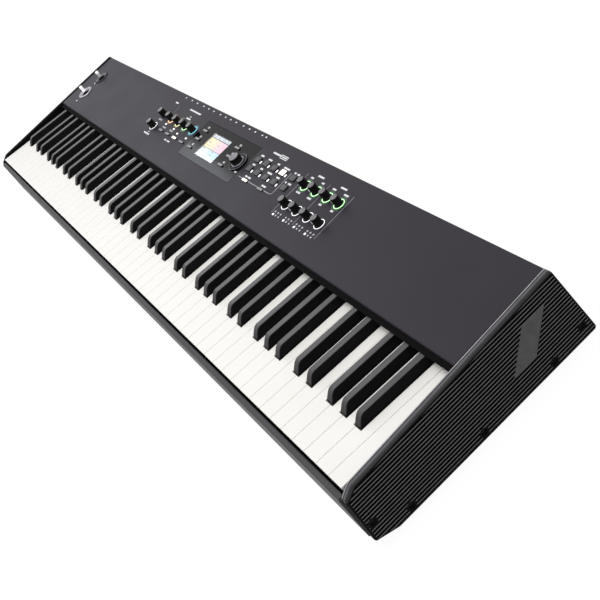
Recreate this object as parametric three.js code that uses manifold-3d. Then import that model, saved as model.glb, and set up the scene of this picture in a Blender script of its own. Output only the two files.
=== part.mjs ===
// Stage piano: 88 weighted keys, a metal control panel behind them and a ribbed cheek at each end.
// Millimetres, +Z up, X along the keys with the treble at +X, Y from the player towards the back.
// The origin lies on the surface under the feet, below the middle of the case.
import * as THREE from "three";
import { mergeVertices } from "three/addons/utils/BufferGeometryUtils.js";
import Module from "manifold-3d";

const wasm = await Module();
wasm.setup();

// Clearances shared by the whole case
const seatGap = 0.3;
const slideGap = 0.4;
const overrun = 4;

// Keyboard
const whiteKeys = 52;
const keyPitch = 23.5;
const keyGap = 0.9;
const keyHeight = 72.5;
const keyFall = 5.9;
const keyReach = 158;
const headDepth = 49.5;
const sharpSpace = 1.4;
const leverTopDrop = 10.5;
const leverThickness = 10;
const leverReach = 58;
const sharpWidth = 11.4;
const sharpTopWidth = 9.4;
const sharpRise = 12;
const sharpLean = 11.2;
const keyDip = 10;
// Nose of a sharp: shares of its lean and of its rise, from the foot to the top
const sharpNose = [[0, 0.08], [0.48, 0.68], [0.66, 0.83], [1, 1]];
const pivotDrop = 2;
const barRadius = 6;
const barSides = 8;
const barClearance = 0.35;
const combGap = 1;
const leverPass = 2;
const sharpLeverThickness = 6;
const sharpBarSpace = 3;

// Case
const cheekThickness = 10;
const cheekSpace = 2;
const cheekFrontLow = -8;
const cheekFrontHigh = -6.4;
const cheekToeHeight = 8.2;
const cheekToeBack = 17;
const browRise = 3;
const browDrop = 9;
const browDepth = 13.8;
const cheekRearSpace = 0.6;
const cheekRearLean = 12.2;
const cheekProud = 1;
const cheekHeelCut = 3;
const keyUnderlap = 9.5;
const panelSpace = 1.25;
const panelClimb = 7;
const panelSheet = 2;
const panelLip = 4;
const panelRearLip = 6;
const panelNose = 2.4;
const noseReach = 2.5;
const slipReach = 9;
const slipSheet = 1.2;
const roundSteps = 2;
const plateSheet = 1.5;
const rearSheet = 2;
const railFront = -9;
const railBack = -2.5;
const railDrop = 5.5;
const railRound = 2.6;
const footHeight = 6;
const footRadius = 14;
const footTaper = 2;
const footInset = 80;
const footFrontInset = 27;
const footRearInset = 42.4;

// Cheek ribs, the plain land between them and the screw recesses
const ribPitch = 4.05;
const ribWidth = 1.6;
const ribDepth = 1.1;
const ribBorder = 1.8;
const ribTopBand = 3.8;
const edgeRound = 3.2;
const edgeSteps = 3;
const landMargin = 34.2;
const landRun = 30;
const landLean = 34;
const landLow = 28;
const landHigh = 69;
const screwBoss = 5.6;
const screwRecess = 3.4;
const screwDepth = 5;
const screwLine = 8;
const screwsInLine = 3;
const screwFrontInset = 20;
const screwRearInset = 55.2;
const screwHeelInset = 13.2;
const screwHeelHeight = 15;
const screwToeInset = 9;
const screwToeHeight = 27.7;

// Key frame: a sheet base with three hollow ridges
const frameToeSpace = 1.5;
const frameSheet = 2;
const ridgeWall = 3;
const restRidgeSpace = 1.5;
const restRidgeDepth = 26;
const feltThickness = 4.2;
const feltInset = 2;
const feltSpace = 1.6;
const contactRidgeLead = 40;
const contactRidgeDepth = 32;
const contactRidgeDrop = 22;
const contactBoardThickness = 1.6;
const domeWidth = 8;
const domeSpace = 1.8;
const pivotRidgeMargin = 3.5;
const cradleDrop = 2;
const jackRoom = 23.6;

// Boards inside the case
const boardThickness = 1.6;
const mainBoardLength = 190;
const mainBoardLeft = -60;
const mainBoardFrontSpace = 4;
const mainBoardRearSpace = 8;
const mainBoardRise = 8;
const mainBoardInset = 8;
const postRadius = 3;
const chipSize = 22;
const chipHeight = 3;
const chipShares = [0.25, 0.5, 0.75];

// Controls: lines along X from the glass window outwards, rows back from the panel's front edge
const knobPitch = 27.4;
const zoneInset = 15.8;
const zoneRow = 72.5;
const masterInset = 32;
const masterRow = 47.8;
const auxiliaryRowPitch = 24.6;
const effectInset = 32.9;
const effectRearRow = 80.3;
const effectFrontRow = 47.3;
const knobHeight = 12.4;
const knobRadius = 5.8;
const knobTopRadius = 5.3;
const knobBevel = 0.8;
const knobLift = 0.6;
const knobSides = 12;
const shaftRadius = 3;
const shaftHeight = 9;
const shaftSides = 10;
const panelHoleSpace = 0.8;
const potSize = 10;
const potHeight = 5.5;
const dataShift = 31.4;
const dataRow = 64;
const dataSkirtRadius = 15;
const dataSkirtHeight = 1.6;
const dataRadius = 8.4;
const dataHeight = 12;

const capWidth = 12;
const capDepth = 8.6;
const slimCapWidth = 13.5;
const slimCapDepth = 3.6;
const capRise = 1.8;
const webThickness = 1.4;
const webMargin = 2;
const buttonTravel = 1;
const switchRise = 3.4;
const switchSize = 6;
const plungerSize = 3;
const zoneButtonShift = 1.2;
const zoneButtonRow = 47.8;
const displayButtonInset = 17;
const displayButtonSpace = 25.4;
const displayButtonRowInset = 16.6;
const displayButtonPitch = 16.5;
const displayButtonRows = 3;
const soundShift = 34.8;
const soundPitch = 23.8;
const soundColumns = 4;
const soundFrontRow = 64.2;
const soundRowPitch = 16.9;
const pairShift = 14.6;
const pairPitch = 45.2;
const pairRowDrop = 17.2;
const sideShift = 27.7;

const windowLeft = -116;
const windowMargin = 18.6;
const windowFront = 31.5;
const windowThickness = 1.2;
const displayInset = 42.8;
const displayWidth = 58.8;
const displayFrontSpace = 11.5;
const displayDepth = 43;
const displayRearSpace = 11.5;
const displayBezel = 1;

const controlBoardDrop = 12;
const controlBoardMargin = 14;
const controlBoardFront = 24;
const controlBoardRearInset = 12.1;

// Two-way sticks at the bass end
const stickInset = 43.7;
const pitchStickRow = 36.8;
const stickRowPitch = 39.2;
const wellRadius = 10.6;
const wellWall = 1.6;
const wellDepth = 15;
const wellFloor = 1.4;
const collarWidth = 2;
const collarRise = 1.4;
const gimbalDrop = 7;
const yokeOuter = 8.4;
const yokeInner = 6.2;
const yokeThickness = 3.4;
const trunnionRadius = 1;
const trunnionClearance = 0.35;
const stickBallRadius = 4.2;
const ballReachShare = 0.5;
const stickRadius = 2.7;
const stickTipRadius = 3;
const stickRise = 15;
const wellSides = 16;

// Sockets in a moulded bar in the back wall, from the bass end towards the treble
const socketHeight = 30;
const socketBarHeight = 23;
const socketBarMargin = 16;
const socketWall = 2;
const jackBoardHeight = 44;
const jackBoardFoot = 14;
const dinLeft = -236;
const dinPitch = 22.5;
const dinSockets = 3;
const dinBore = 13.6;
const jackSpace = 24.5;
const jackPitch = 18.7;
const jackShares = [0, 1, 2, 3.29, 4.29, 5.29, 6.28, 7.55, 8.6];
const jackBush = 5.6;
const jackBore = 6.6;
const bushProud = 1.5;
const hostSpace = 20.2;
const hostWidth = 9;
const hostHeight = 8;
const supplySpace = 19.1;
const supplyBore = 6.8;
const boreSides = 8;
const socketSides = 12;
const switchSpace = 14.9;
const rockerWidth = 8;
const rockerHeight = 14;
const rockerAngle = 7;
const rockerProud = 3.4;
const rockerPeak = 0.9;
const rockerPin = 1.4;
const rockerShellWall = 1.4;
const rockerSwing = 1.2;

// Heights worked out from the sizes above
const leverTopHeight = keyHeight - leverTopDrop;
const leverBottomHeight = leverTopHeight - leverThickness;
const pivotHeight = leverBottomHeight - pivotDrop;
const railHeight = keyHeight - railDrop;
const cheekBrowTop = keyHeight + browRise;
const cheekBrowHeight = cheekBrowTop - browDrop;
const restTopHeight = leverBottomHeight - keyDip - feltSpace;
const restRidgeHeight = restTopHeight - feltThickness - seatGap;
const contactRidgeHeight = leverBottomHeight - contactRidgeDrop;
const frameFloor = plateSheet + seatGap;
const frameTop = frameFloor + frameSheet;

// Places from front to back
const cheekBrowBack = cheekFrontHigh + browDepth;
const toeSlope = cheekToeHeight / (cheekFrontLow - cheekToeBack);
const plateFront = railBack + seatGap;
const frameFront = cheekToeBack + frameToeSpace;
const restRidgeFront = frameFront + restRidgeSpace;
const restRidgeBack = restRidgeFront + restRidgeDepth;
const sharpFront = headDepth + sharpSpace;
const contactRidgeFront = keyReach - contactRidgeLead;
const contactRidgeBack = contactRidgeFront + contactRidgeDepth;
const mainBoardFront = restRidgeBack + mainBoardFrontSpace;
const mainBoardRear = contactRidgeFront - mainBoardRearSpace;
const panelFront = keyReach - keyUnderlap;
const whitePivotBack = keyReach + leverReach;
const sharpPivotBack = whitePivotBack + 2 * barRadius + sharpBarSpace;
const pivotRidgeFront = whitePivotBack - barRadius - pivotRidgeMargin;
const pivotRidgeBack = sharpPivotBack + barRadius + pivotRidgeMargin;
const rearInside = pivotRidgeBack + jackRoom;
const rearFace = rearInside + rearSheet;
const panelRear = rearFace + seatGap + panelSheet;
const cheekRearHigh = panelRear + cheekRearSpace;
const cheekRearLow = cheekRearHigh + cheekRearLean;
const footFront = cheekToeBack + footFrontInset;
const footBack = panelRear - footRearInset;

// The panel stands just above the sharps and climbs towards the back
const panelFrontHeight = keyTop(panelFront) + sharpRise + panelSpace + panelLip;
const panelRearHeight = panelFrontHeight + panelClimb;
const panelDepth = Math.hypot(panelRear - panelFront, panelClimb);
const panelSlope = Math.atan2(panelClimb, panelRear - panelFront);
const cheekHeight = panelRearHeight + cheekProud;

// Places from the bass end to the treble end
const cheekInner = (whiteKeys * keyPitch) / 2 + cheekSpace;
const cheekOuter = cheekInner + cheekThickness;
const innerHalf = cheekInner - seatGap;
const keysLeft = -(whiteKeys * keyPitch) / 2;
const knobsInRow = 4;
const zoneLeft = windowLeft - zoneInset - (knobsInRow - 1) * knobPitch;
const masterLine = zoneLeft - masterInset;
const displayButtonLeft = windowLeft + displayButtonInset;
const displayLeft = windowLeft + displayInset;
const displayRight = displayLeft + displayWidth;
const displayButtonRight = displayRight + displayButtonSpace;
const dataLine = displayButtonRight + dataShift;
const windowRight = dataLine + windowMargin;
const soundLeft = dataLine + soundShift;
const pairLeft = soundLeft + pairShift;
const sideLine = soundLeft + (soundColumns - 1) * soundPitch + sideShift;
const effectLeft = sideLine + effectInset;
const stickLine = -innerHalf + stickInset;
const dinPlaces = Array.from({ length: dinSockets }, (_, i) => dinLeft + i * dinPitch);
const jackLeft = dinPlaces[dinSockets - 1] + jackSpace;
const jackPlaces = jackShares.map((share) => jackLeft + share * jackPitch);
const hostPlace = jackPlaces[jackShares.length - 1] + hostSpace;
const supplyPlace = hostPlace + supplySpace;
const switchPlace = supplyPlace + switchSpace;

// Rows of controls from the panel's front edge
const displayFront = windowFront + displayFrontSpace;
const displayRear = displayFront + displayDepth;
const windowRear = displayRear + displayRearSpace;
const displayButtonRow = windowFront + displayButtonRowInset;
const auxiliaryRow = masterRow + auxiliaryRowPitch;
const pairRow = soundFrontRow - pairRowDrop;
const soundRearRow = soundFrontRow + soundRowPitch;
const modStickRow = pitchStickRow + stickRowPitch;
const controlBoardRear = panelDepth - controlBoardRearInset;

// Height of the white key tops, which fall slightly towards the back
function keyTop(back) {
  return keyHeight - (keyFall * back) / keyReach;
}

// Height of the slanted toe line under the front of the case
function toeHeight(back) {
  return (back - cheekToeBack) * toeSlope;
}

// Height of the panel's outer surface
function panelHeight(back) {
  return panelFrontHeight + (back - panelFront) * Math.tan(panelSlope);
}

// Points of an arc in steps, with its angles in quarter turns
function arc(middleA, middleB, radius, from, to, steps) {
  return Array.from({ length: steps + 1 }, (_, i) => {
    const angle = ((from + ((to - from) * i) / steps) * Math.PI) / 2;
    return [middleA + radius * Math.cos(angle), middleB + radius * Math.sin(angle)];
  });
}

// A closed mesh as a solid that can be cut and joined
function solid(geometry) {
  const bare = geometry.index ? geometry.toNonIndexed() : geometry.clone();
  bare.deleteAttribute("normal");
  bare.deleteAttribute("uv");
  const merged = mergeVertices(bare);
  const vertProperties = new Float32Array(merged.attributes.position.array);
  const triVerts = new Uint32Array(merged.index.array);
  return new wasm.Manifold(new wasm.Mesh({ numProp: 3, vertProperties, triVerts }));
}

// The surface of a solid as a geometry
function surface(shape) {
  const mesh = shape.getMesh();
  const geometry = new THREE.BufferGeometry();
  geometry.setAttribute("position", new THREE.BufferAttribute(new Float32Array(mesh.vertProperties), 3));
  geometry.setIndex(new THREE.BufferAttribute(new Uint32Array(mesh.triVerts), 1));
  return geometry;
}

function join(shapes) {
  return shapes.reduce((whole, shape) => whole.add(shape));
}

// Outline made of [a, b] points, with optional holes of the same kind
function outline(points, holes = []) {
  const shape = new THREE.Shape(points.map(([a, b]) => new THREE.Vector2(a, b)));
  for (const hole of holes) {
    shape.holes.push(new THREE.Path(hole.map(([a, b]) => new THREE.Vector2(a, b))));
  }
  return shape;
}

// Side profile of [back, height] points drawn out along X
function sideBar(points, left, right, holes = []) {
  const depth = right - left;
  const geometry = new THREE.ExtrudeGeometry(outline(points, holes), { depth, bevelEnabled: false });
  const back = new THREE.Vector3(0, 1, 0);
  const up = new THREE.Vector3(0, 0, 1);
  const along = new THREE.Vector3(1, 0, 0);
  geometry.applyMatrix4(new THREE.Matrix4().makeBasis(back, up, along));
  geometry.translate(left, 0, 0);
  return solid(geometry);
}

// Front profile of [x, height] points drawn out along Y
function frontBar(points, front, rear) {
  const geometry = new THREE.ExtrudeGeometry(outline(points), { depth: rear - front, bevelEnabled: false });
  const along = new THREE.Vector3(1, 0, 0);
  const up = new THREE.Vector3(0, 0, 1);
  const forward = new THREE.Vector3(0, -1, 0);
  geometry.applyMatrix4(new THREE.Matrix4().makeBasis(along, up, forward));
  geometry.translate(0, rear, 0);
  return solid(geometry);
}

// Plan of [x, back] points drawn upwards
function plate(points, low, high) {
  const geometry = new THREE.ExtrudeGeometry(outline(points), { depth: high - low, bevelEnabled: false });
  geometry.translate(0, 0, low);
  return solid(geometry);
}

function block(left, right, front, rear, low, high) {
  const geometry = new THREE.BoxGeometry(right - left, rear - front, high - low);
  geometry.translate((left + right) / 2, (front + rear) / 2, (low + high) / 2);
  return solid(geometry);
}

// Upright drum, and the same lying along X or Y
function drum(x, y, radius, low, high, sides, topRadius = radius) {
  const geometry = new THREE.CylinderGeometry(topRadius, radius, high - low, sides);
  geometry.rotateX(Math.PI / 2);
  geometry.translate(x, y, (low + high) / 2);
  return solid(geometry);
}

function drumAlongX(left, right, y, z, radius, sides) {
  const geometry = new THREE.CylinderGeometry(radius, radius, right - left, sides);
  geometry.rotateZ(Math.PI / 2);
  geometry.translate((left + right) / 2, y, z);
  return solid(geometry);
}

function drumAlongY(x, front, rear, z, radius, sides) {
  const geometry = new THREE.CylinderGeometry(radius, radius, rear - front, sides);
  geometry.translate(x, (front + rear) / 2, z);
  return solid(geometry);
}

// Turned piece on an upright axis, from [radius, height] points
function turned(points, sides) {
  const geometry = new THREE.LatheGeometry(points.map(([r, h]) => new THREE.Vector2(r, h)), sides);
  geometry.rotateX(Math.PI / 2);
  return solid(geometry);
}

// Radius of the corners of a regular polygon whose flats lie at the given radius
function overFlats(radius, sides) {
  return radius / Math.cos(Math.PI / sides);
}

const piano = new THREE.Group();
const body = new THREE.Group();
const panelGroup = new THREE.Group();
piano.add(body);
body.add(panelGroup);
body.position.set(0, -(railFront + cheekRearLow) / 2, footHeight);
panelGroup.position.set(0, panelFront, panelFrontHeight);
panelGroup.rotation.x = panelSlope;

const finishes = {
  ivory: [0xf4f1ea, 0.35, 0],
  ebony: [0x151517, 0.5, 0],
  panel: [0x4d4b50, 0.55, 0.6],
  cheek: [0x19191b, 0.55, 0],
  rail: [0x39393b, 0.6, 0.2],
  steel: [0x8f9296, 0.5, 0.9],
  rubber: [0x1c1c1c, 0.9, 0],
  felt: [0x7a2224, 0.95, 0],
  board: [0x1f5a34, 0.6, 0],
  glass: [0x0c0c0f, 0.1, 0],
  screen: [0xb6c3d0, 0.3, 0],
  knob: [0x202022, 0.6, 0],
  button: [0x2b2b2d, 0.6, 0],
  chrome: [0xd5d6d8, 0.25, 0.9],
  socket: [0x222226, 0.5, 0],
};

function addPiece(name, shape, finish, parent = body) {
  const [color, roughness, metalness] = finishes[finish];
  const material = new THREE.MeshStandardMaterial({ color, roughness, metalness });
  const mesh = new THREE.Mesh(surface(shape), material);
  mesh.name = name;
  parent.add(mesh);
  return mesh;
}

// Sharps stand over the joint between two naturals, moved sideways by a share of the key pitch
const sharpShares = { 0: -0.085, 1: 0.085, 3: -0.128, 4: 0, 5: 0.128 };
const naturalsInOctave = 7;
const leadingKeys = 2;

// The step of a natural in its octave, C being 0
function stepOf(natural) {
  return (natural - leadingKeys + naturalsInOctave) % naturalsInOctave;
}

// Middle of the sharp that follows a natural, or null where there is none
function sharpMiddle(natural) {
  const share = sharpShares[stepOf(natural)];
  if (share === undefined || natural < 0 || natural >= whiteKeys - 1) {
    return null;
  }
  return keysLeft + (natural + 1 + share) * keyPitch;
}

// Pivot bar with a square upper half and a round lower half that rolls in its cradle
function barProfile(back) {
  const points = [
    [back - barRadius, pivotHeight + barRadius],
    [back + barRadius, pivotHeight + barRadius],
  ];
  for (let i = 0; i <= barSides / 2; i += 1) {
    const angle = (-2 * Math.PI * i) / barSides;
    points.push([back + barRadius * Math.cos(angle), pivotHeight + barRadius * Math.sin(angle)]);
  }
  return points;
}

// Plan of one natural: a full-width head, then a tail that leaves room for the sharps beside it
function naturalPlan(natural) {
  const left = keysLeft + natural * keyPitch + keyGap / 2;
  const right = left + keyPitch - keyGap;
  const slot = sharpWidth / 2 + sharpSpace;
  const before = sharpMiddle(natural - 1);
  const after = sharpMiddle(natural);
  const tailLeft = before === null ? left : before + slot;
  const tailRight = after === null ? right : after - slot;
  const points = [[left, 0], [right, 0], [right, headDepth]];
  if (tailRight < right) {
    points.push([tailRight, headDepth]);
  }
  points.push([tailRight, whitePivotBack + barRadius], [tailLeft, whitePivotBack + barRadius]);
  if (tailLeft > left) {
    points.push([tailLeft, headDepth]);
  }
  points.push([left, headDepth]);
  return points;
}

function combSpan(first, last) {
  const left = keysLeft + first * keyPitch + combGap / 2;
  const right = keysLeft + (last + 1) * keyPitch - combGap / 2;
  return [left, right];
}

// The naturals of one octave, with their levers on one pivot bar
function naturalComb(first, last) {
  const side = [
    [0, leverBottomHeight],
    [0, keyHeight],
    [keyReach, keyTop(keyReach)],
    [keyReach, leverTopHeight],
    [whitePivotBack, leverTopHeight],
    [whitePivotBack + barRadius, pivotHeight + barRadius],
    [whitePivotBack + barRadius, pivotHeight],
    [whitePivotBack - barRadius, pivotHeight],
    [whitePivotBack - barRadius, leverBottomHeight],
  ];
  const [left, right] = combSpan(first, last);
  const plans = [];
  for (let natural = first; natural <= last; natural += 1) {
    plans.push(plate(naturalPlan(natural), pivotHeight - overrun, keyHeight + overrun));
  }
  const keys = join(plans).intersect(sideBar(side, left - overrun, right + overrun));
  return keys.add(sideBar(barProfile(whitePivotBack), left, right));
}

// The sharps of one octave, whose levers pass over the naturals' bar to a bar of their own
function sharpComb(first, last) {
  const lowTop = keyTop(keyReach);
  const leverLow = pivotHeight + barRadius + leverPass;
  const nose = sharpNose.map(([back, up]) => {
    const place = sharpFront + back * sharpLean;
    return [place, keyTop(place) + up * sharpRise];
  });
  const side = [
    [sharpFront, leverLow],
    ...nose,
    [keyReach, lowTop + sharpRise],
    [keyReach, leverLow + sharpLeverThickness],
    [sharpPivotBack + barRadius, leverLow + sharpLeverThickness],
    [sharpPivotBack + barRadius, pivotHeight],
    [sharpPivotBack - barRadius, pivotHeight],
    [sharpPivotBack - barRadius, leverLow],
  ];
  const [left, right] = combSpan(first, last);
  const prisms = [];
  for (let natural = first; natural <= last; natural += 1) {
    const middle = sharpMiddle(natural);
    if (middle !== null) {
      const half = sharpWidth / 2;
      const topHalf = sharpTopWidth / 2;
      const top = keyHeight + sharpRise;
      const front = [
        [middle - half, pivotHeight - overrun],
        [middle + half, pivotHeight - overrun],
        [middle + half, lowTop],
        [middle + topHalf, top],
        [middle - topHalf, top],
        [middle - half, lowTop],
      ];
      prisms.push(frontBar(front, headDepth, sharpPivotBack + barRadius));
    }
  }
  const keys = join(prisms).intersect(sideBar(side, left - overrun, right + overrun));
  return keys.add(sideBar(barProfile(sharpPivotBack), left, right));
}

function buildKeys() {
  const octaves = (whiteKeys - leadingKeys - 1) / naturalsInOctave;
  for (let octave = 0; octave < octaves; octave += 1) {
    const start = leadingKeys + octave * naturalsInOctave;
    const first = octave === 0 ? 0 : start;
    const last = octave === octaves - 1 ? whiteKeys - 1 : start + naturalsInOctave - 1;
    addPiece(`natural_keys_${octave + 1}`, naturalComb(first, last), "ivory");
    addPiece(`sharp_keys_${octave + 1}`, sharpComb(first, last), "ebony");
  }
}

// Half-round groove points under a pivot bar, from its back edge to its front edge
function cradle(back) {
  const radius = overFlats(barRadius + barClearance, barSides);
  const points = [];
  const reach = Math.asin(cradleDrop / radius);
  const steps = barSides / 2;
  for (let i = 0; i <= steps; i += 1) {
    const angle = -reach - (i / steps) * (Math.PI - 2 * reach);
    points.push([back + radius * Math.cos(angle), pivotHeight + radius * Math.sin(angle)]);
  }
  return points;
}

function ridgeHole(front, rear, top) {
  return [
    [front + ridgeWall, frameFloor + ridgeWall],
    [rear - ridgeWall, frameFloor + ridgeWall],
    [rear - ridgeWall, top - ridgeWall],
    [front + ridgeWall, top - ridgeWall],
  ];
}

function buildKeyFrame() {
  const ridgeTop = pivotHeight - cradleDrop;
  const cradleFloor = pivotHeight - overFlats(barRadius + barClearance, barSides);
  const side = [
    [frameFront, frameFloor],
    [pivotRidgeBack, frameFloor],
    [pivotRidgeBack, ridgeTop],
    ...cradle(sharpPivotBack),
    ...cradle(whitePivotBack),
    [pivotRidgeFront, ridgeTop],
    [pivotRidgeFront, frameTop],
    [contactRidgeBack, frameTop],
    [contactRidgeBack, contactRidgeHeight],
    [contactRidgeFront, contactRidgeHeight],
    [contactRidgeFront, frameTop],
    [restRidgeBack, frameTop],
    [restRidgeBack, restRidgeHeight],
    [restRidgeFront, restRidgeHeight],
    [restRidgeFront, frameTop],
    [frameFront, frameTop],
  ];
  const holes = [
    ridgeHole(restRidgeFront, restRidgeBack, restRidgeHeight),
    ridgeHole(contactRidgeFront, contactRidgeBack, contactRidgeHeight),
    ridgeHole(pivotRidgeFront, pivotRidgeBack, cradleFloor),
  ];
  addPiece("key_frame", sideBar(side, -innerHalf, innerHalf, holes), "steel");
}

function buildKeyFelt() {
  const front = restRidgeFront + feltInset;
  const rear = restRidgeBack - feltInset;
  const low = restRidgeHeight + seatGap;
  const half = innerHalf - cheekSpace;
  addPiece("key_rest_felt", block(-half, half, front, rear, low, low + feltThickness), "felt");
}

// Contact strip under the keys, with the rubber domes as one raised rib
function buildContactBoard() {
  const low = contactRidgeHeight + seatGap;
  const high = low + contactBoardThickness;
  const middle = contactRidgeFront + contactRidgeDepth / 2;
  const press = (keyDip * (whitePivotBack - middle + domeWidth / 2)) / whitePivotBack;
  const domeTop = leverBottomHeight - press - domeSpace;
  const side = [
    [contactRidgeFront, low],
    [contactRidgeBack, low],
    [contactRidgeBack, high],
    [middle + domeWidth / 2, high],
    [middle + domeWidth / 2, domeTop],
    [middle - domeWidth / 2, domeTop],
    [middle - domeWidth / 2, high],
    [contactRidgeFront, high],
  ];
  const half = innerHalf - cheekSpace;
  addPiece("key_contact_board", sideBar(side, -half, half), "board");
}

function buildBottomPlate() {
  const side = [
    [cheekToeBack, 0],
    [panelRear, 0],
    [panelRear, plateSheet],
    [cheekToeBack, plateSheet],
    [plateFront, toeHeight(plateFront) + plateSheet],
    [plateFront, toeHeight(plateFront)],
  ];
  addPiece("bottom_plate", sideBar(side, -innerHalf, innerHalf), "steel");
}

function buildFrontRail() {
  const side = [
    [railFront, toeHeight(railFront)],
    [railBack, toeHeight(railBack)],
    [railBack, railHeight],
    ...arc(railFront + railRound, railHeight - railRound, railRound, 1, 2, roundSteps),
  ];
  addPiece("front_rail", sideBar(side, -innerHalf, innerHalf), "rail");
}

function buildFeet() {
  for (const [sideName, x] of [["left", -cheekInner + footInset], ["right", cheekInner - footInset]]) {
    for (const [endName, y] of [["front", footFront], ["rear", footBack]]) {
      const foot = drum(x, y, footRadius - footTaper, -footHeight, -seatGap, knobSides, footRadius);
      addPiece(`foot_${endName}_${sideName}`, foot, "rubber");
    }
  }
}

const cheekOutline = [
  [cheekToeBack, 0],
  [cheekRearLow - cheekHeelCut, 0],
  [cheekRearLow, cheekHeelCut],
  [cheekRearHigh, cheekHeight - cheekHeelCut / 2],
  [cheekRearHigh - cheekHeelCut, cheekHeight],
  [cheekBrowBack, cheekBrowTop],
  [cheekFrontHigh, cheekBrowHeight],
  [cheekFrontLow, cheekToeHeight],
];

// Part of the cheek's side that carries ribs
const ribbedOutline = [
  [cheekToeBack + ribBorder, ribBorder],
  [cheekRearLow - cheekHeelCut - ribBorder, ribBorder],
  [cheekRearHigh - ribBorder, cheekHeight - ribTopBand],
  [cheekBrowBack, cheekBrowTop - ribTopBand],
  [cheekFrontHigh + ribBorder, cheekBrowHeight - ribTopBand / 2],
  [cheekFrontLow + ribBorder, cheekToeHeight + ribBorder],
];

const landLeft = cheekRearLow - landMargin - landLean - landRun;
const landOutline = [
  [landLeft, landLow],
  [landLeft + landRun, landLow],
  [landLeft + landRun + landLean, landHigh],
  [landLeft + landLean, landHigh],
];

const screwPlaces = [
  [cheekRearLow - screwHeelInset, screwHeelHeight],
  [cheekFrontLow + screwToeInset, screwToeHeight],
];
const screwRun = cheekRearLow - screwRearInset - cheekToeBack - screwFrontInset;
for (let i = 0; i < screwsInLine; i += 1) {
  screwPlaces.push([cheekToeBack + screwFrontInset + (screwRun * i) / (screwsInLine - 1), screwLine]);
}

// The cheek at the treble end; the bass one is its mirror image
function cheekSolid() {
  const outer = cheekOuter;
  const grooveLow = outer - ribDepth;
  const grooves = [];
  for (let height = ribPitch; height + ribPitch < cheekHeight; height += ribPitch) {
    const low = height + ribWidth - ribPitch;
    grooves.push(block(grooveLow, outer + overrun, cheekFrontLow, cheekRearLow, low, height));
  }
  const keep = [sideBar(landOutline, grooveLow - overrun, outer + overrun)];
  const recesses = [];
  for (const [back, height] of screwPlaces) {
    keep.push(drumAlongX(grooveLow - overrun, outer + overrun, back, height, screwBoss, boreSides));
    recesses.push(drumAlongX(outer - screwDepth, outer + overrun, back, height, screwRecess, boreSides));
  }
  const field = sideBar(ribbedOutline, grooveLow - overrun, outer + overrun);
  const ribCuts = join(grooves).intersect(field).subtract(join(keep));
  const rise = Math.atan2(cheekHeight - cheekBrowTop, cheekRearHigh - cheekHeelCut - cheekBrowBack);
  const corner = [
    ...arc(outer - edgeRound, -edgeRound, edgeRound, 1, 0, edgeSteps),
    [outer + overrun, -edgeRound],
    [outer + overrun, overrun],
    [outer - edgeRound, overrun],
  ];
  const edge = frontBar(corner, -cheekRearLow, cheekRearLow);
  const slanted = edge.rotate([(rise * 180) / Math.PI, 0, 0]).translate([0, cheekBrowBack, cheekBrowTop]);
  const raw = sideBar(cheekOutline, cheekInner, outer);
  return raw.subtract(ribCuts).subtract(join(recesses)).subtract(slanted);
}

function buildCheeks() {
  const right = cheekSolid();
  addPiece("right_cheek", right, "cheek");
  addPiece("left_cheek", right.mirror([1, 0, 0]), "cheek");
}

// Knobs: name, place along X, place back from the panel's front edge
const knobPlaces = [
  ["master_volume_knob", masterLine, masterRow],
  ["headphone_volume_knob", masterLine, auxiliaryRow],
];
for (let i = 0; i < knobsInRow; i += 1) {
  knobPlaces.push([`zone_knob_${i + 1}`, zoneLeft + i * knobPitch, zoneRow]);
}
for (let i = 0; i < knobsInRow; i += 1) {
  knobPlaces.push([`effect_rear_knob_${i + 1}`, effectLeft + i * knobPitch, effectRearRow]);
  knobPlaces.push([`effect_front_knob_${i + 1}`, effectLeft + i * knobPitch, effectFrontRow]);
}
const dataName = "data_dial";

// Places of the caps of each button strip
const zoneButtons = [];
const soundButtons = [];
for (let i = 0; i < knobsInRow; i += 1) {
  zoneButtons.push([zoneLeft + zoneButtonShift + i * knobPitch, zoneButtonRow]);
}
for (let i = 0; i < soundColumns; i += 1) {
  soundButtons.push([soundLeft + i * soundPitch, soundFrontRow]);
  soundButtons.push([soundLeft + i * soundPitch, soundRearRow]);
}
const selectButtons = [[pairLeft, pairRow], [pairLeft + pairPitch, pairRow]];
const sideButtons = [[sideLine, soundFrontRow], [sideLine, soundRearRow]];
function displayButtons(x) {
  return Array.from({ length: displayButtonRows }, (_, i) => [x, displayButtonRow + i * displayButtonPitch]);
}

// Button strips: name, places of the caps, width and depth of a cap
const buttonStrips = [
  ["zone_buttons", zoneButtons, slimCapWidth, slimCapDepth],
  ["display_buttons_left", displayButtons(displayButtonLeft), slimCapWidth, slimCapDepth],
  ["display_buttons_right", displayButtons(displayButtonRight), slimCapWidth, slimCapDepth],
  ["sound_buttons", soundButtons, capWidth, capDepth],
  ["select_buttons", selectButtons, slimCapWidth, slimCapDepth],
  ["side_buttons", sideButtons, capWidth, capDepth],
];

// Cut for a button cap through whatever lies over the web
function capHole(x, y, width, depth) {
  const half = width / 2 + slideGap;
  const halfDepth = depth / 2 + slideGap;
  return block(x - half, x + half, y - halfDepth, y + halfDepth, -panelLip - overrun, overrun);
}

const knobHoleRadius = shaftRadius + panelHoleSpace;

function knobHole(x, y) {
  return drum(x, y, knobHoleRadius, -panelLip - overrun, overrun, shaftSides);
}

function controlHoles() {
  const holes = knobPlaces.map(([, x, y]) => knobHole(x, y));
  holes.push(knobHole(dataLine, dataRow));
  for (const [, caps, width, depth] of buttonStrips) {
    for (const [x, y] of caps) {
      holes.push(capHole(x, y, width, depth));
    }
  }
  return join(holes);
}

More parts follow.
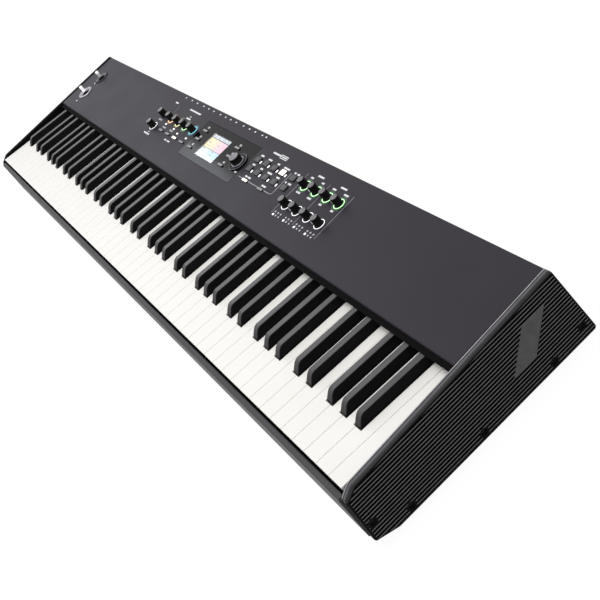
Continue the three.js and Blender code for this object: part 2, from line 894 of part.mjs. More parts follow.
// Panel sheet in its own frame: X along the keys, Y back along the slope, Z out of the panel.
// A thin slip runs forward from its nose and hides the rear ends of the keys.
function buildPanel() {
  const slipLow = -panelNose - slipSheet;
  const side = [
    [-slipReach, slipLow],
    [-slipReach, -panelNose],
    ...arc(panelNose - noseReach, -panelNose, panelNose, 2, 1, roundSteps),
    [panelDepth, 0],
    [panelDepth, -panelRearLip],
    [panelDepth - panelSheet, -panelRearLip],
    [panelDepth - panelSheet, -panelSheet],
    [panelSheet, -panelSheet],
    [panelSheet, slipLow],
  ];
  const blank = sideBar(side, -innerHalf, innerHalf);
  const pocketFloor = -windowThickness - seatGap;
  const opening = (left, right, front, rear, low) =>
    block(left - seatGap, right + seatGap, front - seatGap, rear + seatGap, low, overrun);
  const pocket = opening(windowLeft, windowRight, windowFront, windowRear, pocketFloor);
  const sight = opening(displayLeft, displayRight, displayFront, displayRear, -overrun);
  const wells = [];
  for (const row of [pitchStickRow, modStickRow]) {
    const radius = overFlats(wellRadius + wellWall + seatGap, wellSides);
    wells.push(drum(stickLine, row, radius, -overrun, overrun, wellSides));
  }
  const sheet = blank.subtract(pocket).subtract(sight).subtract(join(wells)).subtract(controlHoles());
  addPiece("top_panel", sheet, "panel", panelGroup);
}

function buildDisplay() {
  const lens = block(windowLeft, windowRight, windowFront, windowRear, -windowThickness, 0);
  addPiece("display_window", lens.subtract(controlHoles()), "glass", panelGroup);
  const top = -windowThickness - seatGap;
  const low = -controlBoardDrop + seatGap;
  const rim = displayBezel;
  const shell = block(displayLeft, displayRight, displayFront, displayRear, low, -panelSheet);
  const screen = block(
    displayLeft + rim, displayRight - rim, displayFront + rim, displayRear - rim, -panelSheet, top,
  );
  addPiece("display_module", screen.add(shell), "screen", panelGroup);
}

function knobSolid(radius, topRadius, height) {
  const bore = overFlats(shaftRadius + slideGap, shaftSides);
  const boreTop = shaftHeight + slideGap;
  const points = [
    [0, knobLift],
    [radius, knobLift],
    [topRadius, height - knobBevel],
    [topRadius - knobBevel, height],
    [0, height],
  ];
  return turned(points, knobSides).subtract(drum(0, 0, bore, -overrun, boreTop, shaftSides));
}

function buildKnobs() {
  for (const [name, x, y] of knobPlaces) {
    const knob = addPiece(name, knobSolid(knobRadius, knobTopRadius, knobHeight), "knob", panelGroup);
    knob.position.set(x, y, 0);
  }
  const points = [
    [0, knobLift],
    [dataSkirtRadius, knobLift],
    [dataSkirtRadius, knobLift + dataSkirtHeight / 2],
    [dataSkirtRadius - dataSkirtHeight / 2, knobLift + dataSkirtHeight],
    [dataRadius, knobLift + dataSkirtHeight],
    [dataRadius, dataHeight - knobBevel],
    [dataRadius - knobBevel, dataHeight],
    [0, dataHeight],
  ];
  const bore = overFlats(shaftRadius + slideGap, shaftSides);
  const hole = drum(0, 0, bore, -overrun, shaftHeight + slideGap, shaftSides);
  const dial = addPiece(dataName, turned(points, wellSides).subtract(hole), "knob", panelGroup);
  dial.position.set(dataLine, dataRow, 0);
}

// Caps on one web that hangs under the panel, each with a plunger over its switch
function buildButtons() {
  const webTop = -panelSheet - seatGap;
  const webLow = webTop - webThickness;
  const plungerLow = -controlBoardDrop + switchRise + buttonTravel + seatGap;
  for (const [name, caps, width, depth] of buttonStrips) {
    const xs = caps.map(([x]) => x);
    const ys = caps.map(([, y]) => y);
    const halfWidth = width / 2 + webMargin;
    const halfDepth = depth / 2 + webMargin;
    const pieces = [
      block(
        Math.min(...xs) - halfWidth, Math.max(...xs) + halfWidth,
        Math.min(...ys) - halfDepth, Math.max(...ys) + halfDepth, webLow, webTop,
      ),
    ];
    for (const [x, y] of caps) {
      const half = width / 2;
      const deep = depth / 2;
      const stem = plungerSize / 2;
      pieces.push(block(x - half, x + half, y - deep, y + deep, webLow, capRise));
      pieces.push(block(x - stem, x + stem, y - stem, y + stem, plungerLow, webTop));
    }
    addPiece(name, join(pieces), "button", panelGroup);
  }
}

// Board under the panel with the pots, the encoders, the switches and its posts
function buildControlBoard() {
  const top = -controlBoardDrop;
  const left = masterLine - controlBoardMargin;
  const right = effectLeft + (knobsInRow - 1) * knobPitch + controlBoardMargin;
  const inset = postRadius * 2;
  const pieces = [block(left, right, controlBoardFront, controlBoardRear, top - boardThickness, top)];
  for (const [, x, y] of [...knobPlaces, [dataName, dataLine, dataRow]]) {
    const half = potSize / 2;
    pieces.push(block(x - half, x + half, y - half, y + half, top - boardThickness / 2, top + potHeight));
    pieces.push(drum(x, y, shaftRadius, top, shaftHeight, shaftSides));
  }
  for (const [, caps] of buttonStrips) {
    for (const [x, y] of caps) {
      const half = switchSize / 2;
      pieces.push(block(x - half, x + half, y - half, y + half, top - boardThickness / 2, top + switchRise));
    }
  }
  for (const x of [left + inset, right - inset]) {
    for (const y of [controlBoardFront + inset, controlBoardRear - inset]) {
      pieces.push(drum(x, y, postRadius, top - boardThickness / 2, -panelSheet - seatGap, boreSides));
    }
  }
  addPiece("control_board", join(pieces), "board", panelGroup);
}

// Two-way stick: a cup in the panel, a ring yoke that tilts on X and a lever that tilts across it
function buildStick(prefix, row) {
  const pinHole = trunnionRadius + trunnionClearance;
  const outer = wellRadius + wellWall;
  const cup = turned(
    [
      [0, -wellDepth - wellFloor],
      [outer, -wellDepth - wellFloor],
      [outer, seatGap],
      [outer + collarWidth, seatGap],
      [outer + collarWidth - collarRise / 2, seatGap + collarRise],
      [wellRadius + collarRise / 2, seatGap + collarRise],
      [wellRadius, 0],
      [wellRadius, -wellDepth],
      [0, -wellDepth],
    ],
    wellSides,
  );
  const cupHole = drumAlongX(-outer - overrun, outer + overrun, 0, -gimbalDrop, pinHole, boreSides);
  const housing = addPiece(`${prefix}_stick_housing`, cup.subtract(cupHole), "chrome", panelGroup);
  const half = yokeThickness / 2;
  const ring = drum(0, 0, yokeOuter, -half, half, wellSides).subtract(
    drum(0, 0, yokeInner, -half - overrun, half + overrun, wellSides),
  );
  const pins = drumAlongX(-outer + seatGap, outer - seatGap, 0, 0, trunnionRadius, boreSides).subtract(
    drum(0, 0, (yokeOuter + yokeInner) / 2, -half - overrun, half + overrun, wellSides),
  );
  const ringHole = drumAlongY(0, -outer, outer, 0, pinHole, boreSides);
  const yoke = addPiece(`${prefix}_stick_yoke`, ring.subtract(ringHole).add(pins), "steel", panelGroup);
  const lever = join([
    turned(
      [
        [0, -stickBallRadius],
        ...arc(0, 0, stickBallRadius, -ballReachShare, ballReachShare, roundSteps),
        [stickRadius, stickBallRadius],
        [stickTipRadius, gimbalDrop + stickRise - knobBevel],
        [stickTipRadius - knobBevel, gimbalDrop + stickRise],
        [0, gimbalDrop + stickRise],
      ],
      boreSides,
    ),
    drumAlongY(0, -yokeOuter + seatGap, yokeOuter - seatGap, 0, trunnionRadius, boreSides),
  ]);
  const stick = addPiece(`${prefix}_stick_lever`, lever, "chrome", panelGroup);
  housing.position.set(stickLine, row, 0);
  yoke.position.set(stickLine, row, -gimbalDrop);
  stick.position.set(stickLine, row, -gimbalDrop);
}

function buildMainBoard() {
  const low = frameTop + seatGap;
  const left = mainBoardLeft;
  const right = left + mainBoardLength;
  const front = mainBoardFront;
  const rear = mainBoardRear;
  const under = low + mainBoardRise;
  const top = under + boardThickness;
  const pieces = [block(left, right, front, rear, under, top)];
  for (const x of [left + mainBoardInset, right - mainBoardInset]) {
    for (const y of [front + mainBoardInset, rear - mainBoardInset]) {
      pieces.push(drum(x, y, postRadius, low, top, boreSides));
    }
  }
  for (const share of chipShares) {
    const x = left + mainBoardLength * share - chipSize / 2;
    const y = (front + rear - chipSize) / 2;
    pieces.push(block(x, x + chipSize, y, y + chipSize, under + boardThickness / 2, top + chipHeight));
  }
  addPiece("main_board", join(pieces), "board");
}

// Board behind the back wall, with one moulded bar that holds the sockets and the power switch
function buildSockets() {
  const boardFront = pivotRidgeBack + seatGap;
  const boardBack = boardFront + boardThickness;
  const floor = boardBack + socketWall;
  const mouth = rearFace + bushProud;
  const left = dinPlaces[0] - socketBarMargin;
  const right = switchPlace + socketBarMargin;
  const barLow = socketHeight - socketBarHeight / 2;
  const barHigh = socketHeight + socketBarHeight / 2;
  const cube = (x, width, height, front, rear) =>
    block(x - width / 2, x + width / 2, front, rear, socketHeight - height / 2, socketHeight + height / 2);
  const bore = (x, width) => drumAlongY(x, floor, mouth + overrun, socketHeight, width / 2, socketSides);
  const shells = [
    block(left, right, boardFront, boardBack, jackBoardFoot, jackBoardHeight),
    block(left, right, boardBack - boardThickness / 2, rearFace, barLow, barHigh),
  ];
  const bores = dinPlaces.map((x) => bore(x, dinBore));
  for (const x of jackPlaces) {
    shells.push(drumAlongY(x, floor, mouth, socketHeight, jackBush, socketSides));
    bores.push(bore(x, jackBore));
  }
  bores.push(bore(supplyPlace, supplyBore));
  bores.push(cube(hostPlace, hostWidth, hostHeight, floor, mouth));
  const rockerSpace = rockerWidth + 2 * slideGap;
  bores.push(cube(switchPlace, rockerSpace, rockerHeight + 2 * rockerSwing, floor, mouth));
  const pivotBack = rearInside - seatGap - rockerPin * 2;
  const pinReach = rockerSpace / 2 + rockerShellWall;
  const pinRadius = overFlats(rockerPin + trunnionClearance, boreSides);
  bores.push(
    drumAlongX(switchPlace - pinReach, switchPlace + pinReach, pivotBack, socketHeight, pinRadius, boreSides),
  );
  addPiece("jack_board", join(shells).subtract(join(bores)), "socket");

  const high = panelHeight(rearInside) - panelSheet / Math.cos(panelSlope) - seatGap;
  const wallSheet = block(-innerHalf, innerHalf, rearInside, rearFace, frameFloor, high);
  const window = block(
    left - slideGap, right + slideGap, rearInside - overrun, rearFace + overrun,
    barLow - slideGap, barHigh + slideGap,
  );
  addPiece("rear_panel", wallSheet.subtract(window), "panel");

  const half = rockerHeight / 2;
  const face = rearFace - pivotBack + rockerProud;
  const profile = [
    [-rockerPin, -rockerPin * 2],
    [rockerPin * 2, -half],
    [face, -half],
    [face - rockerPeak, 0],
    [face, half],
    [rockerPin * 2, half],
    [-rockerPin, rockerPin * 2],
  ];
  const rockerHalf = rockerWidth / 2;
  const pinHalf = (rockerSpace + rockerShellWall) / 2;
  const pin = drumAlongX(-pinHalf, pinHalf, 0, 0, rockerPin, boreSides);
  const rocker = addPiece("power_switch", sideBar(profile, -rockerHalf, rockerHalf).add(pin), "button");
  rocker.position.set(switchPlace, pivotBack, socketHeight);
  rocker.rotation.x = (-rockerAngle * Math.PI) / 180;
}

buildKeys();
buildKeyFrame();
buildKeyFelt();
buildContactBoard();
buildBottomPlate();
buildFrontRail();
buildFeet();
buildCheeks();
buildPanel();
buildDisplay();
buildKnobs();
buildButtons();
buildControlBoard();
buildStick("pitch", pitchStickRow);
buildStick("mod", modStickRow);
buildMainBoard();
buildSockets();

export default piano;
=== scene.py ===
"""Stage piano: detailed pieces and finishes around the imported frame.

Shapes are written in millimetres in one of two spaces. In case space X runs along the keys, Y runs
back from the key fronts and Z rises from the bottom plate. In panel space Y runs back up the slope
from the panel's front edge and Z stands out of the panel's surface.
"""

import math

import bmesh
import bpy
from mathutils import Matrix, Vector


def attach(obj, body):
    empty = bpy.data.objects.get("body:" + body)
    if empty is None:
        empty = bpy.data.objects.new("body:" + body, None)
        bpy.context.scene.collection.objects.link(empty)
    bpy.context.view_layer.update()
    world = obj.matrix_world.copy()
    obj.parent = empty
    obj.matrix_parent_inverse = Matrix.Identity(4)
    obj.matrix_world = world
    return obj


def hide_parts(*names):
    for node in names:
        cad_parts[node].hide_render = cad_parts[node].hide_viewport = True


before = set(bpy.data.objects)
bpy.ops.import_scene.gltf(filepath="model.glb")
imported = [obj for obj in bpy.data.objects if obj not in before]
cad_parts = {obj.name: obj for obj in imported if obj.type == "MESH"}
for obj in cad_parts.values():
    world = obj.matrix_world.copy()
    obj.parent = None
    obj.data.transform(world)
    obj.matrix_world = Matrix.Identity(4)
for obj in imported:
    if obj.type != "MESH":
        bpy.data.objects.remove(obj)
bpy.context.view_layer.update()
scene = bpy.context.scene

MM = 0.001

# Case
FOOT_HEIGHT = 6
MIDDLE_BACK = 136.1
CHEEK_INNER = 613
CHEEK_OUTER = 623
SEAT_GAP = 0.3
INNER_HALF = CHEEK_INNER - SEAT_GAP
# How far joined shapes reach into each other, and how far cutters reach past what they cut
OVERLAP = 1
CUT_REACH = 4
CUT_DEPTH = 8

# Keyboard
WHITE_KEYS = 52
KEY_PITCH = 23.5
KEY_GAP = 0.9
KEY_HEIGHT = 72.5
KEY_FALL = 5.9
KEY_REACH = 158
HEAD_DEPTH = 49.5
KEY_CAP = 2.6
KEY_LIP = 0.8
KEY_SIDE_INSET = 0.1
KEY_CAP_SPREAD = 0.2
LEVER_LOW = 52
LEVER_HIGH = 62
SHARP_SPACE = 1.4
SHARP_WIDTH = 11.4
SHARP_TOP_WIDTH = 8.7
SHARP_RISE = 12
SHARP_LEAN = 11.2
# Nose of a sharp: shares of its lean and of its rise
SHARP_NOSE = [(0, 0.08), (0.24, 0.39), (0.48, 0.68), (0.57, 0.77), (0.66, 0.84), (0.8, 0.93), (1, 1)]
SHARP_ROOT = -0.1
SHARP_LOW = 58
SHARP_LEVER = 6
KEY_EDGE = 0.35
SHARP_EDGE = 1.2
PIVOT_HEIGHT = 50
BAR_RADIUS = 6
WHITE_PIVOT_BACK = 216
SHARP_PIVOT_BACK = 231
LEADING_KEYS = 2
OCTAVE = 7
SHARP_SHARES = {0: -0.085, 1: 0.085, 3: -0.128, 4: 0, 5: 0.128}
KEYS_LEFT = -WHITE_KEYS * KEY_PITCH / 2

# Top panel
PANEL_FRONT = 148.5
PANEL_HEIGHT = 84.205
PANEL_CLIMB = 7
PANEL_REAR = 268.4
PANEL_SLOPE = math.atan2(PANEL_CLIMB, PANEL_REAR - PANEL_FRONT)
PANEL_DEPTH = math.hypot(PANEL_CLIMB, PANEL_REAR - PANEL_FRONT)
PANEL_SHEET = 2
PANEL_REAR_LIP = 6
PANEL_REAR_ROUND = 1
PANEL_NOSE = 2.4
NOSE_REACH = 2.5
NOSE_LOW = -PANEL_NOSE - 0.2
FOLD_BACK = 0.4
FOLD_LOW_BACK = -0.8
SLIP_REACH = 9
SLIP_INNER = 1.8
SLIP_TOP = -PANEL_NOSE - 0.1
SLIP_LOW = -PANEL_NOSE - 1.2
SLIP_EDGE = 0.4


def case_space(x=0, y=0, z=0):
    """Matrix from case millimetres, moved by (x, y, z), to the frame's metres."""
    return Matrix.Scale(MM, 4) @ Matrix.Translation((x, y - MIDDLE_BACK, z + FOOT_HEIGHT))


def panel_space(x=0, y=0, z=0):
    """Matrix from panel millimetres, moved by (x, y, z), to the frame's metres."""
    tilt = Matrix.Rotation(PANEL_SLOPE, 4, "X")
    return case_space(0, PANEL_FRONT, PANEL_HEIGHT) @ tilt @ Matrix.Translation((x, y, z))


def key_top(back):
    return KEY_HEIGHT - KEY_FALL * back / KEY_REACH


# Meshes
def upwards(a, b, c):
    return (a, b, c)


def along_x(a, b, c):
    return (c, a, b)


def along_y(a, b, c):
    return (a, c, b)


def corners_of(area):
    """Corners of an area given by its left, right, front and rear."""
    left, right, front, rear = area
    return [(left, front), (right, front), (right, rear), (left, rear)]


def added(name, data):
    """New object in the scene."""
    made = bpy.data.objects.new(name, data)
    scene.collection.objects.link(made)
    return made


class Shell:
    """Closed shapes gathered into one mesh. What is drawn takes the material slot in `paint`."""

    def __init__(self):
        self.bm = bmesh.new()
        self.paint = 0

    def face(self, verts):
        made = self.bm.faces.new(verts)
        made.material_index = self.paint

    def rings(self, rings, closed=False):
        """Skin over rings of points; a ring of one point is a tip, and open ends are capped."""
        rows = [[self.bm.verts.new(point) for point in ring] for ring in rings]
        pairs = list(zip(rows, rows[1:]))
        if closed:
            pairs.append((rows[-1], rows[0]))
        for low, high in pairs:
            count = max(len(low), len(high))
            for i in range(count):
                j = (i + 1) % count
                if len(low) == 1:
                    self.face((low[0], high[i], high[j]))
                elif len(high) == 1:
                    self.face((low[i], low[j], high[0]))
                else:
                    self.face((low[i], low[j], high[j], high[i]))
        if not closed:
            for row in (rows[0], rows[-1]):
                if len(row) > 1:
                    self.face(row)

    def prism(self, points, low, high, put=upwards):
        self.rings([[put(a, b, level) for a, b in points] for level in (low, high)])

    def block(self, left, right, front, rear, low, high):
        self.prism(corners_of((left, right, front, rear)), low, high)

    def turned(self, profile, x=0, y=0, z=0, put=upwards, steps=40, closed=False):
        """Lathe of (radius, height) points on an axis through (x, y, z)."""
        rings = []
        for radius, height in profile:
            turns = [2 * math.pi * i / steps for i in range(steps)] if radius else [0]
            ring = []
            for turn in turns:
                a, b, c = put(radius * math.cos(turn), radius * math.sin(turn), height)
                ring.append((x + a, y + b, z + c))
            rings.append(ring)
        self.rings(rings, closed)

    def turn_outwards(self):
        bmesh.ops.recalc_face_normals(self.bm, faces=self.bm.faces)

    def made(self, name):
        """Object of the gathered shapes, which ends the shell."""
        mesh = bpy.data.meshes.new(name)
        self.bm.to_mesh(mesh)
        self.bm.free()
        return added(name, mesh)


def carved(shell, cutter):
    """The shell with the cutter's shapes cut out of it."""
    shell.turn_outwards()
    cutter.turn_outwards()
    blank, tool = shell.made("carved_blank"), cutter.made("carved_cutter")
    modifier = blank.modifiers.new("cut", "BOOLEAN")
    modifier.operation = "DIFFERENCE"
    modifier.solver = "EXACT"
    modifier.use_self = True
    modifier.object = tool
    result = Shell()
    result.bm.from_object(blank, bpy.context.evaluated_depsgraph_get())
    for made in (blank, tool):
        mesh = made.data
        bpy.data.objects.remove(made)
        bpy.data.meshes.remove(mesh)
    return result


def piece(name, shell, space, finishes, body="case", stands_for=(), bevel=0, steps=2,
          sharp=32):
    """Makes the shell an object that rides on a body, with its finishes and soft edges."""
    shell.turn_outwards()
    shell.bm.transform(space)
    made = shell.made(name)
    mesh = made.data
    for finish in finishes:
        mesh.materials.append(finish)
    mesh.shade_smooth()
    mesh.set_sharp_from_angle(angle=math.radians(sharp))
    if bevel:
        edge = made.modifiers.new("edges", "BEVEL")
        edge.width = bevel * MM
        edge.segments = steps
        edge.limit_method = "ANGLE"
        edge.angle_limit = math.radians(sharp)
        edge.harden_normals = True
    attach(made, body)
    if stands_for:
        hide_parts(*stands_for)


def arc(middle_a, middle_b, radius, start, end, steps):
    """Points of an arc between two angles in degrees."""
    turns = [math.radians(start + (end - start) * i / steps) for i in range(steps + 1)]
    return [(middle_a + radius * math.cos(t), middle_b + radius * math.sin(t)) for t in turns]


def inset(points, distances):
    """Convex anticlockwise outline with each edge moved inwards by its own distance."""
    count = len(points)
    lines = []
    for i in range(count):
        start = Vector(points[i])
        way = (Vector(points[(i + 1) % count]) - start).normalized()
        normal = Vector((-way.y, way.x))
        lines.append((start + normal * distances[i], way))
    moved = []
    for i in range(count):
        (p, d), (q, e) = lines[i - 1], lines[i]
        along = (q - p).cross(e) / d.cross(e)
        moved.append(tuple(p + d * along))
    return moved


def rounded(points, radii, steps=4):
    """Outline with each corner replaced by an arc of its own radius."""
    result = []
    count = len(points)
    for i in range(count):
        corner = Vector(points[i])
        before = (Vector(points[i - 1]) - corner).normalized()
        after = (Vector(points[(i + 1) % count]) - corner).normalized()
        half = before.angle(after) / 2
        reach = radii[i] / math.tan(half)
        middle = corner + (before + after).normalized() * radii[i] / math.sin(half)
        start = corner + before * reach - middle
        sweep = start.angle_signed(corner + after * reach - middle)
        for k in range(steps + 1):
            turn = Matrix.Rotation(-sweep * k / steps, 2)
            result.append(tuple(middle + turn @ start))
    return result


def edged(shell, points, low, top, edge, put=upwards):
    """Flat block over a convex outline, with its upper edges chamfered."""
    shell.rings([
        [put(a, b, level) for a, b in inset(points, [drawn_in] * len(points))]
        for level, drawn_in in ((low, 0), (top - edge, 0), (top, edge))
    ])


def span(outline, height):
    """Lowest and highest first coordinate of a convex outline at a height."""
    hits = []
    for (a, b), (c, d) in zip(outline, outline[1:] + outline[:1]):
        if (b - height) * (d - height) <= 0 and b != d:
            hits.append(a + (c - a) * (height - b) / (d - b))
    return (min(hits), max(hits)) if hits else None


# Finishes
NOISE_DETAIL = 3
# Places of a Mix node's factor and two colours among its inputs, and of its colour among its outputs
MIX_SHARE, MIX_FIRST, MIX_SECOND, MIX_RESULT = 0, 6, 7, 2


def lifted(tone, lift):
    """Colour that is lighter by one number, or by one number for each of its parts."""
    lifts = lift if isinstance(lift, tuple) else (lift, lift, lift)
    return tuple(value + more for value, more in zip(tone, lifts))


def linear(color):
    """Linear values of an sRGB colour given from 0 to 255."""
    result = []
    for value in color:
        share = value / 255
        result.append(share / 12.92 if share <= 0.04045 else ((share + 0.055) / 1.055) ** 2.4)
    return (*result, 1)


class Tree:
    """Nodes of a material or of the world."""

    def __init__(self, owner):
        owner.use_nodes = True
        self.nodes = owner.node_tree.nodes
        self.links = owner.node_tree.links

    def fill(self, socket, source):
        """Feeds a socket from an output, or sets it to a value."""
        if isinstance(source, bpy.types.NodeSocket):
            self.links.new(source, socket)
        else:
            socket.default_value = source

    def add(self, kind, inputs, output=0, **settings):
        """New node with its settings and inputs; returns one of its outputs, if it has any."""
        node = self.nodes.new("ShaderNode" + kind)
        for key, value in settings.items():
            setattr(node, key, value)
        for key, source in inputs.items():
            self.fill(node.inputs[key], source)
        return node.outputs[output] if node.outputs else None


class Finish(Tree):
    """Procedural material: mottled colour and gloss, and a fine relief, in object space."""

    def __init__(self, name):
        self.material = bpy.data.materials.new(name)
        super().__init__(self.material)
        self.shader = self.nodes["Principled BSDF"]
        self.place = self.add("TexCoord", {}, "Object")

    def noise(self, size, stretch=None):
        """Noise with grains of about `size` millimetres."""
        source = self.place
        if stretch:
            source = self.add("Mapping", {"Vector": source, "Scale": stretch})
        return self.add("TexNoise", {"Vector": source, "Scale": 1 / (size * MM), "Detail": NOISE_DETAIL})

    def ranged(self, source, low, high, start=0.3, end=0.7):
        limits = {"From Min": start, "From Max": end, "To Min": low, "To Max": high}
        return self.add("MapRange", {"Value": source, **limits})

    def mixed(self, share, first, second):
        """Colour between two colours or colour outputs, by a share from 0 to 1."""
        ends = [linear(color) if isinstance(color, tuple) else color for color in (first, second)]
        return self.add("Mix", {MIX_SHARE: share, MIX_FIRST: ends[0], MIX_SECOND: ends[1]}, MIX_RESULT,
                        data_type="RGBA")

    def axis(self, source, letter):
        return self.add("SeparateXYZ", {"Vector": source}, letter)

    def set(self, **sources):
        for key, source in sources.items():
            self.fill(self.shader.inputs[key.replace("_", " ")], source)

    def relief(self, source, strength, depth):
        self.set(Normal=self.add("Bump", {"Height": source, "Strength": strength, "Distance": depth * MM}))


def surface(name, tone, lift, rough=(0.5, 0.6), mottle=30, grain=0.5, depth=0.03, strength=0.4,
            stretch=None, metal=0, gloss=0.5, **values):
    """Plain finish from a tone to a lifted one, with roughness from rough[0] to rough[1] and a grain."""
    finish = Finish(name)
    blotch = finish.noise(mottle, stretch)
    finish.set(Base_Color=finish.mixed(finish.ranged(blotch, 0, 1), tone, lifted(tone, lift)),
               Roughness=finish.ranged(blotch, *rough), Metallic=metal, Specular_IOR_Level=gloss, **values)
    finish.relief(finish.noise(grain, stretch), strength, depth)
    return finish.material


def lamp(name, first, second, strength, mottle=4, fade=None):
    """Lit plastic whose glow varies over its face, or fades along X between two places in metres; it also
    makes the painted glows of parts that are no lamps.
    """
    finish = Finish(name)
    if fade:
        share = finish.ranged(finish.axis(finish.place, "X"), 0, 1, *fade)
    else:
        share = finish.ranged(finish.noise(mottle), 0, 1)
    glow = finish.mixed(share, first, second)
    finish.set(Base_Color=glow, Emission_Color=glow, Emission_Strength=strength, Roughness=0.4)
    return finish.material


def worn_black_with_painted_top_sheen(name):
    """Matt black key plastic with a worn mottle, painted a lighter grey satin where it faces up: a painted
    sheen of the light on its top.
    """
    finish = Finish(name)
    # Share by which a face looks up; it paints the top lighter as a painted sheen
    up = finish.ranged(finish.axis(finish.add("NewGeometry", {}, "Normal"), "Z"), 0, 1, 0.35, 0.95)
    wear = finish.ranged(finish.noise(9, (1, 0.12, 1)), 0, 1)
    body = finish.mixed(wear, (14, 13, 14), (20, 19, 20))
    # Painted sheen: the colour of faces that look up, lighter than the sides
    top = finish.mixed(wear, (60, 58, 59), (78, 75, 76))
    finish.set(Base_Color=finish.mixed(up, body, top), Roughness=finish.ranged(up, 0.6, 0.34, 0, 1),
               Specular_IOR_Level=finish.ranged(up, 0.06, 0.4, 0, 1))
    finish.relief(finish.noise(0.6), 0.3, 0.03)
    return finish.material


IVORY = surface("ivory_plastic", (250, 247, 242), (3, 4, 5), (0.34, 0.46), mottle=60, grain=0.8,
                depth=0.01, strength=0.25, gloss=0.25)
IVORY_SIDE = surface("ivory_side", (226, 221, 212), (10, 11, 12), mottle=25)
# Black key plastic with its top painted lighter as a painted sheen
EBONY = worn_black_with_painted_top_sheen("ebony_plastic")
PAINT = surface("panel_paint", (41, 37, 45), 5, (0.42, 0.5), mottle=90, grain=0.35, depth=0.02,
                strength=0.5, gloss=0.17)
SLIP = surface("black_felt", (5, 5, 6), 4, (0.9, 1), mottle=3, grain=0.4, depth=0.2, strength=0.6,
               gloss=0.1)
CHEEK = surface("cheek_plastic", (1, 1, 2), 2, (0.55, 0.65), mottle=20, grain=0.4, gloss=0.06)
CHEEK_FACE = {"rough": (0.45, 0.55), "mottle": 12, "grain": 0.4, "depth": 0.02, "gloss": 0.15}
# Rib faces: a painted highlight, lighter than the black plastic of the flanks
CHEEK_RIB_HIGHLIGHT = surface("cheek_rib_painted_highlight", (108, 107, 109), 18, **CHEEK_FACE)
CHEEK_LAND = surface("cheek_land", (88, 87, 89), 14, **CHEEK_FACE)
CHEEK_STRIP = {"mottle": 14, "grain": 0.4, "depth": 0.02}
# Painted highlights on the right cheek's top: light strips where its rounded top edge catches the light
CHEEK_PAINTED_HIGHLIGHTS = [
    surface("cheek_painted_highlight_strip", (150, 147, 151), 18, (0.3, 0.4), **CHEEK_STRIP),
    surface("cheek_shoulder_painted_highlight", (78, 76, 80), 12, (0.4, 0.5), gloss=0.3, **CHEEK_STRIP),
    surface("cheek_edge_painted_highlight", (40, 39, 41), 10, (0.45, 0.55), gloss=0.2, **CHEEK_STRIP),
]
RAIL = surface("rail_plastic", (40, 40, 41), 6, mottle=40)
STEEL = surface("zinc_steel", (128, 131, 134), 24, (0.36, 0.5), mottle=12, metal=1,
                grain=1.2, depth=0.02, stretch=(0.2, 1, 1))
BLACK_STEEL = surface("black_steel", (34, 34, 36), 8, mottle=50, metal=0.3)
SATIN = surface("satin_chrome", (186, 182, 188), (22, 23, 22), (0.26, 0.36), mottle=5, metal=1)
COLLAR = surface("dull_collar", (150, 145, 152), 26, (0.34, 0.42), mottle=6, metal=1)
RUBBER = surface("rubber", (22, 22, 22), 8, (0.75, 0.88), mottle=8, grain=0.7, depth=0.08)
FELT = surface("felt", (116, 30, 33), (24, 12, 11), (0.9, 1), mottle=2, grain=0.3, depth=0.3,
               strength=0.8, Sheen_Weight=0.4)
BOARD = surface("circuit_board", (18, 66, 40), (8, 18, 10), (0.35, 0.5), mottle=6, grain=1.5, depth=0.05)
GLASS = surface("black_glass", (9, 9, 11), 4, (0.07, 0.1), mottle=60, grain=20,
                depth=0.003, strength=0.1, gloss=0.12)
PANE = surface("clear_pane", (244, 246, 248), (6, 5, 4), (0.02, 0.04), mottle=40, grain=20,
               depth=0.002, strength=0.05, Transmission_Weight=1, IOR=1.45)
KNOB = surface("knob_rubber", (2, 2, 3), 2, (0.4, 0.5), mottle=5, grain=0.4, gloss=0.15)
KNOB_TOP = surface("knob_disc", (102, 100, 103), 16, (0.35, 0.45), mottle=3)
DIAL_TOP = surface("dial_disc", (116, 111, 118), 14, (0.3, 0.4), mottle=5)
# Painted highlight of the flange's lit edge
DIAL_RIM_HIGHLIGHT = surface("dial_rim_painted_highlight", (146, 142, 150), 20, (0.22, 0.32), mottle=5, metal=0.6)
BUTTON = surface("button_plastic", (66, 64, 66), 10, (0.45, 0.55), mottle=6)
LIGHT_BUTTON = surface("light_button", (142, 139, 143), 16, (0.45, 0.55), mottle=6)
DARK = surface("moulded_black", (8, 8, 9), 4, (0.55, 0.7), mottle=8, gloss=0.25)
SOCKET = surface("socket_plastic", (24, 24, 26), 8, (0.5, 0.62), mottle=10, grain=0.6)
PRINTED = {"mottle": 4, "grain": 0.3}
INK = surface("printed_ink", (230, 228, 232), 12, **PRINTED)
FAINT_INK = surface("faint_ink", (176, 173, 178), 16, **PRINTED)
DIM_INK = surface("dim_ink", (132, 129, 134), 14, **PRINTED)
WHITE_CAP = surface("white_cap", (240, 240, 242), (10, 10, 9), (0.3, 0.4), mottle=3)
LAMP_OFF = surface("lamp_lens", (192, 190, 194), 22, (0.3, 0.4), mottle=2)
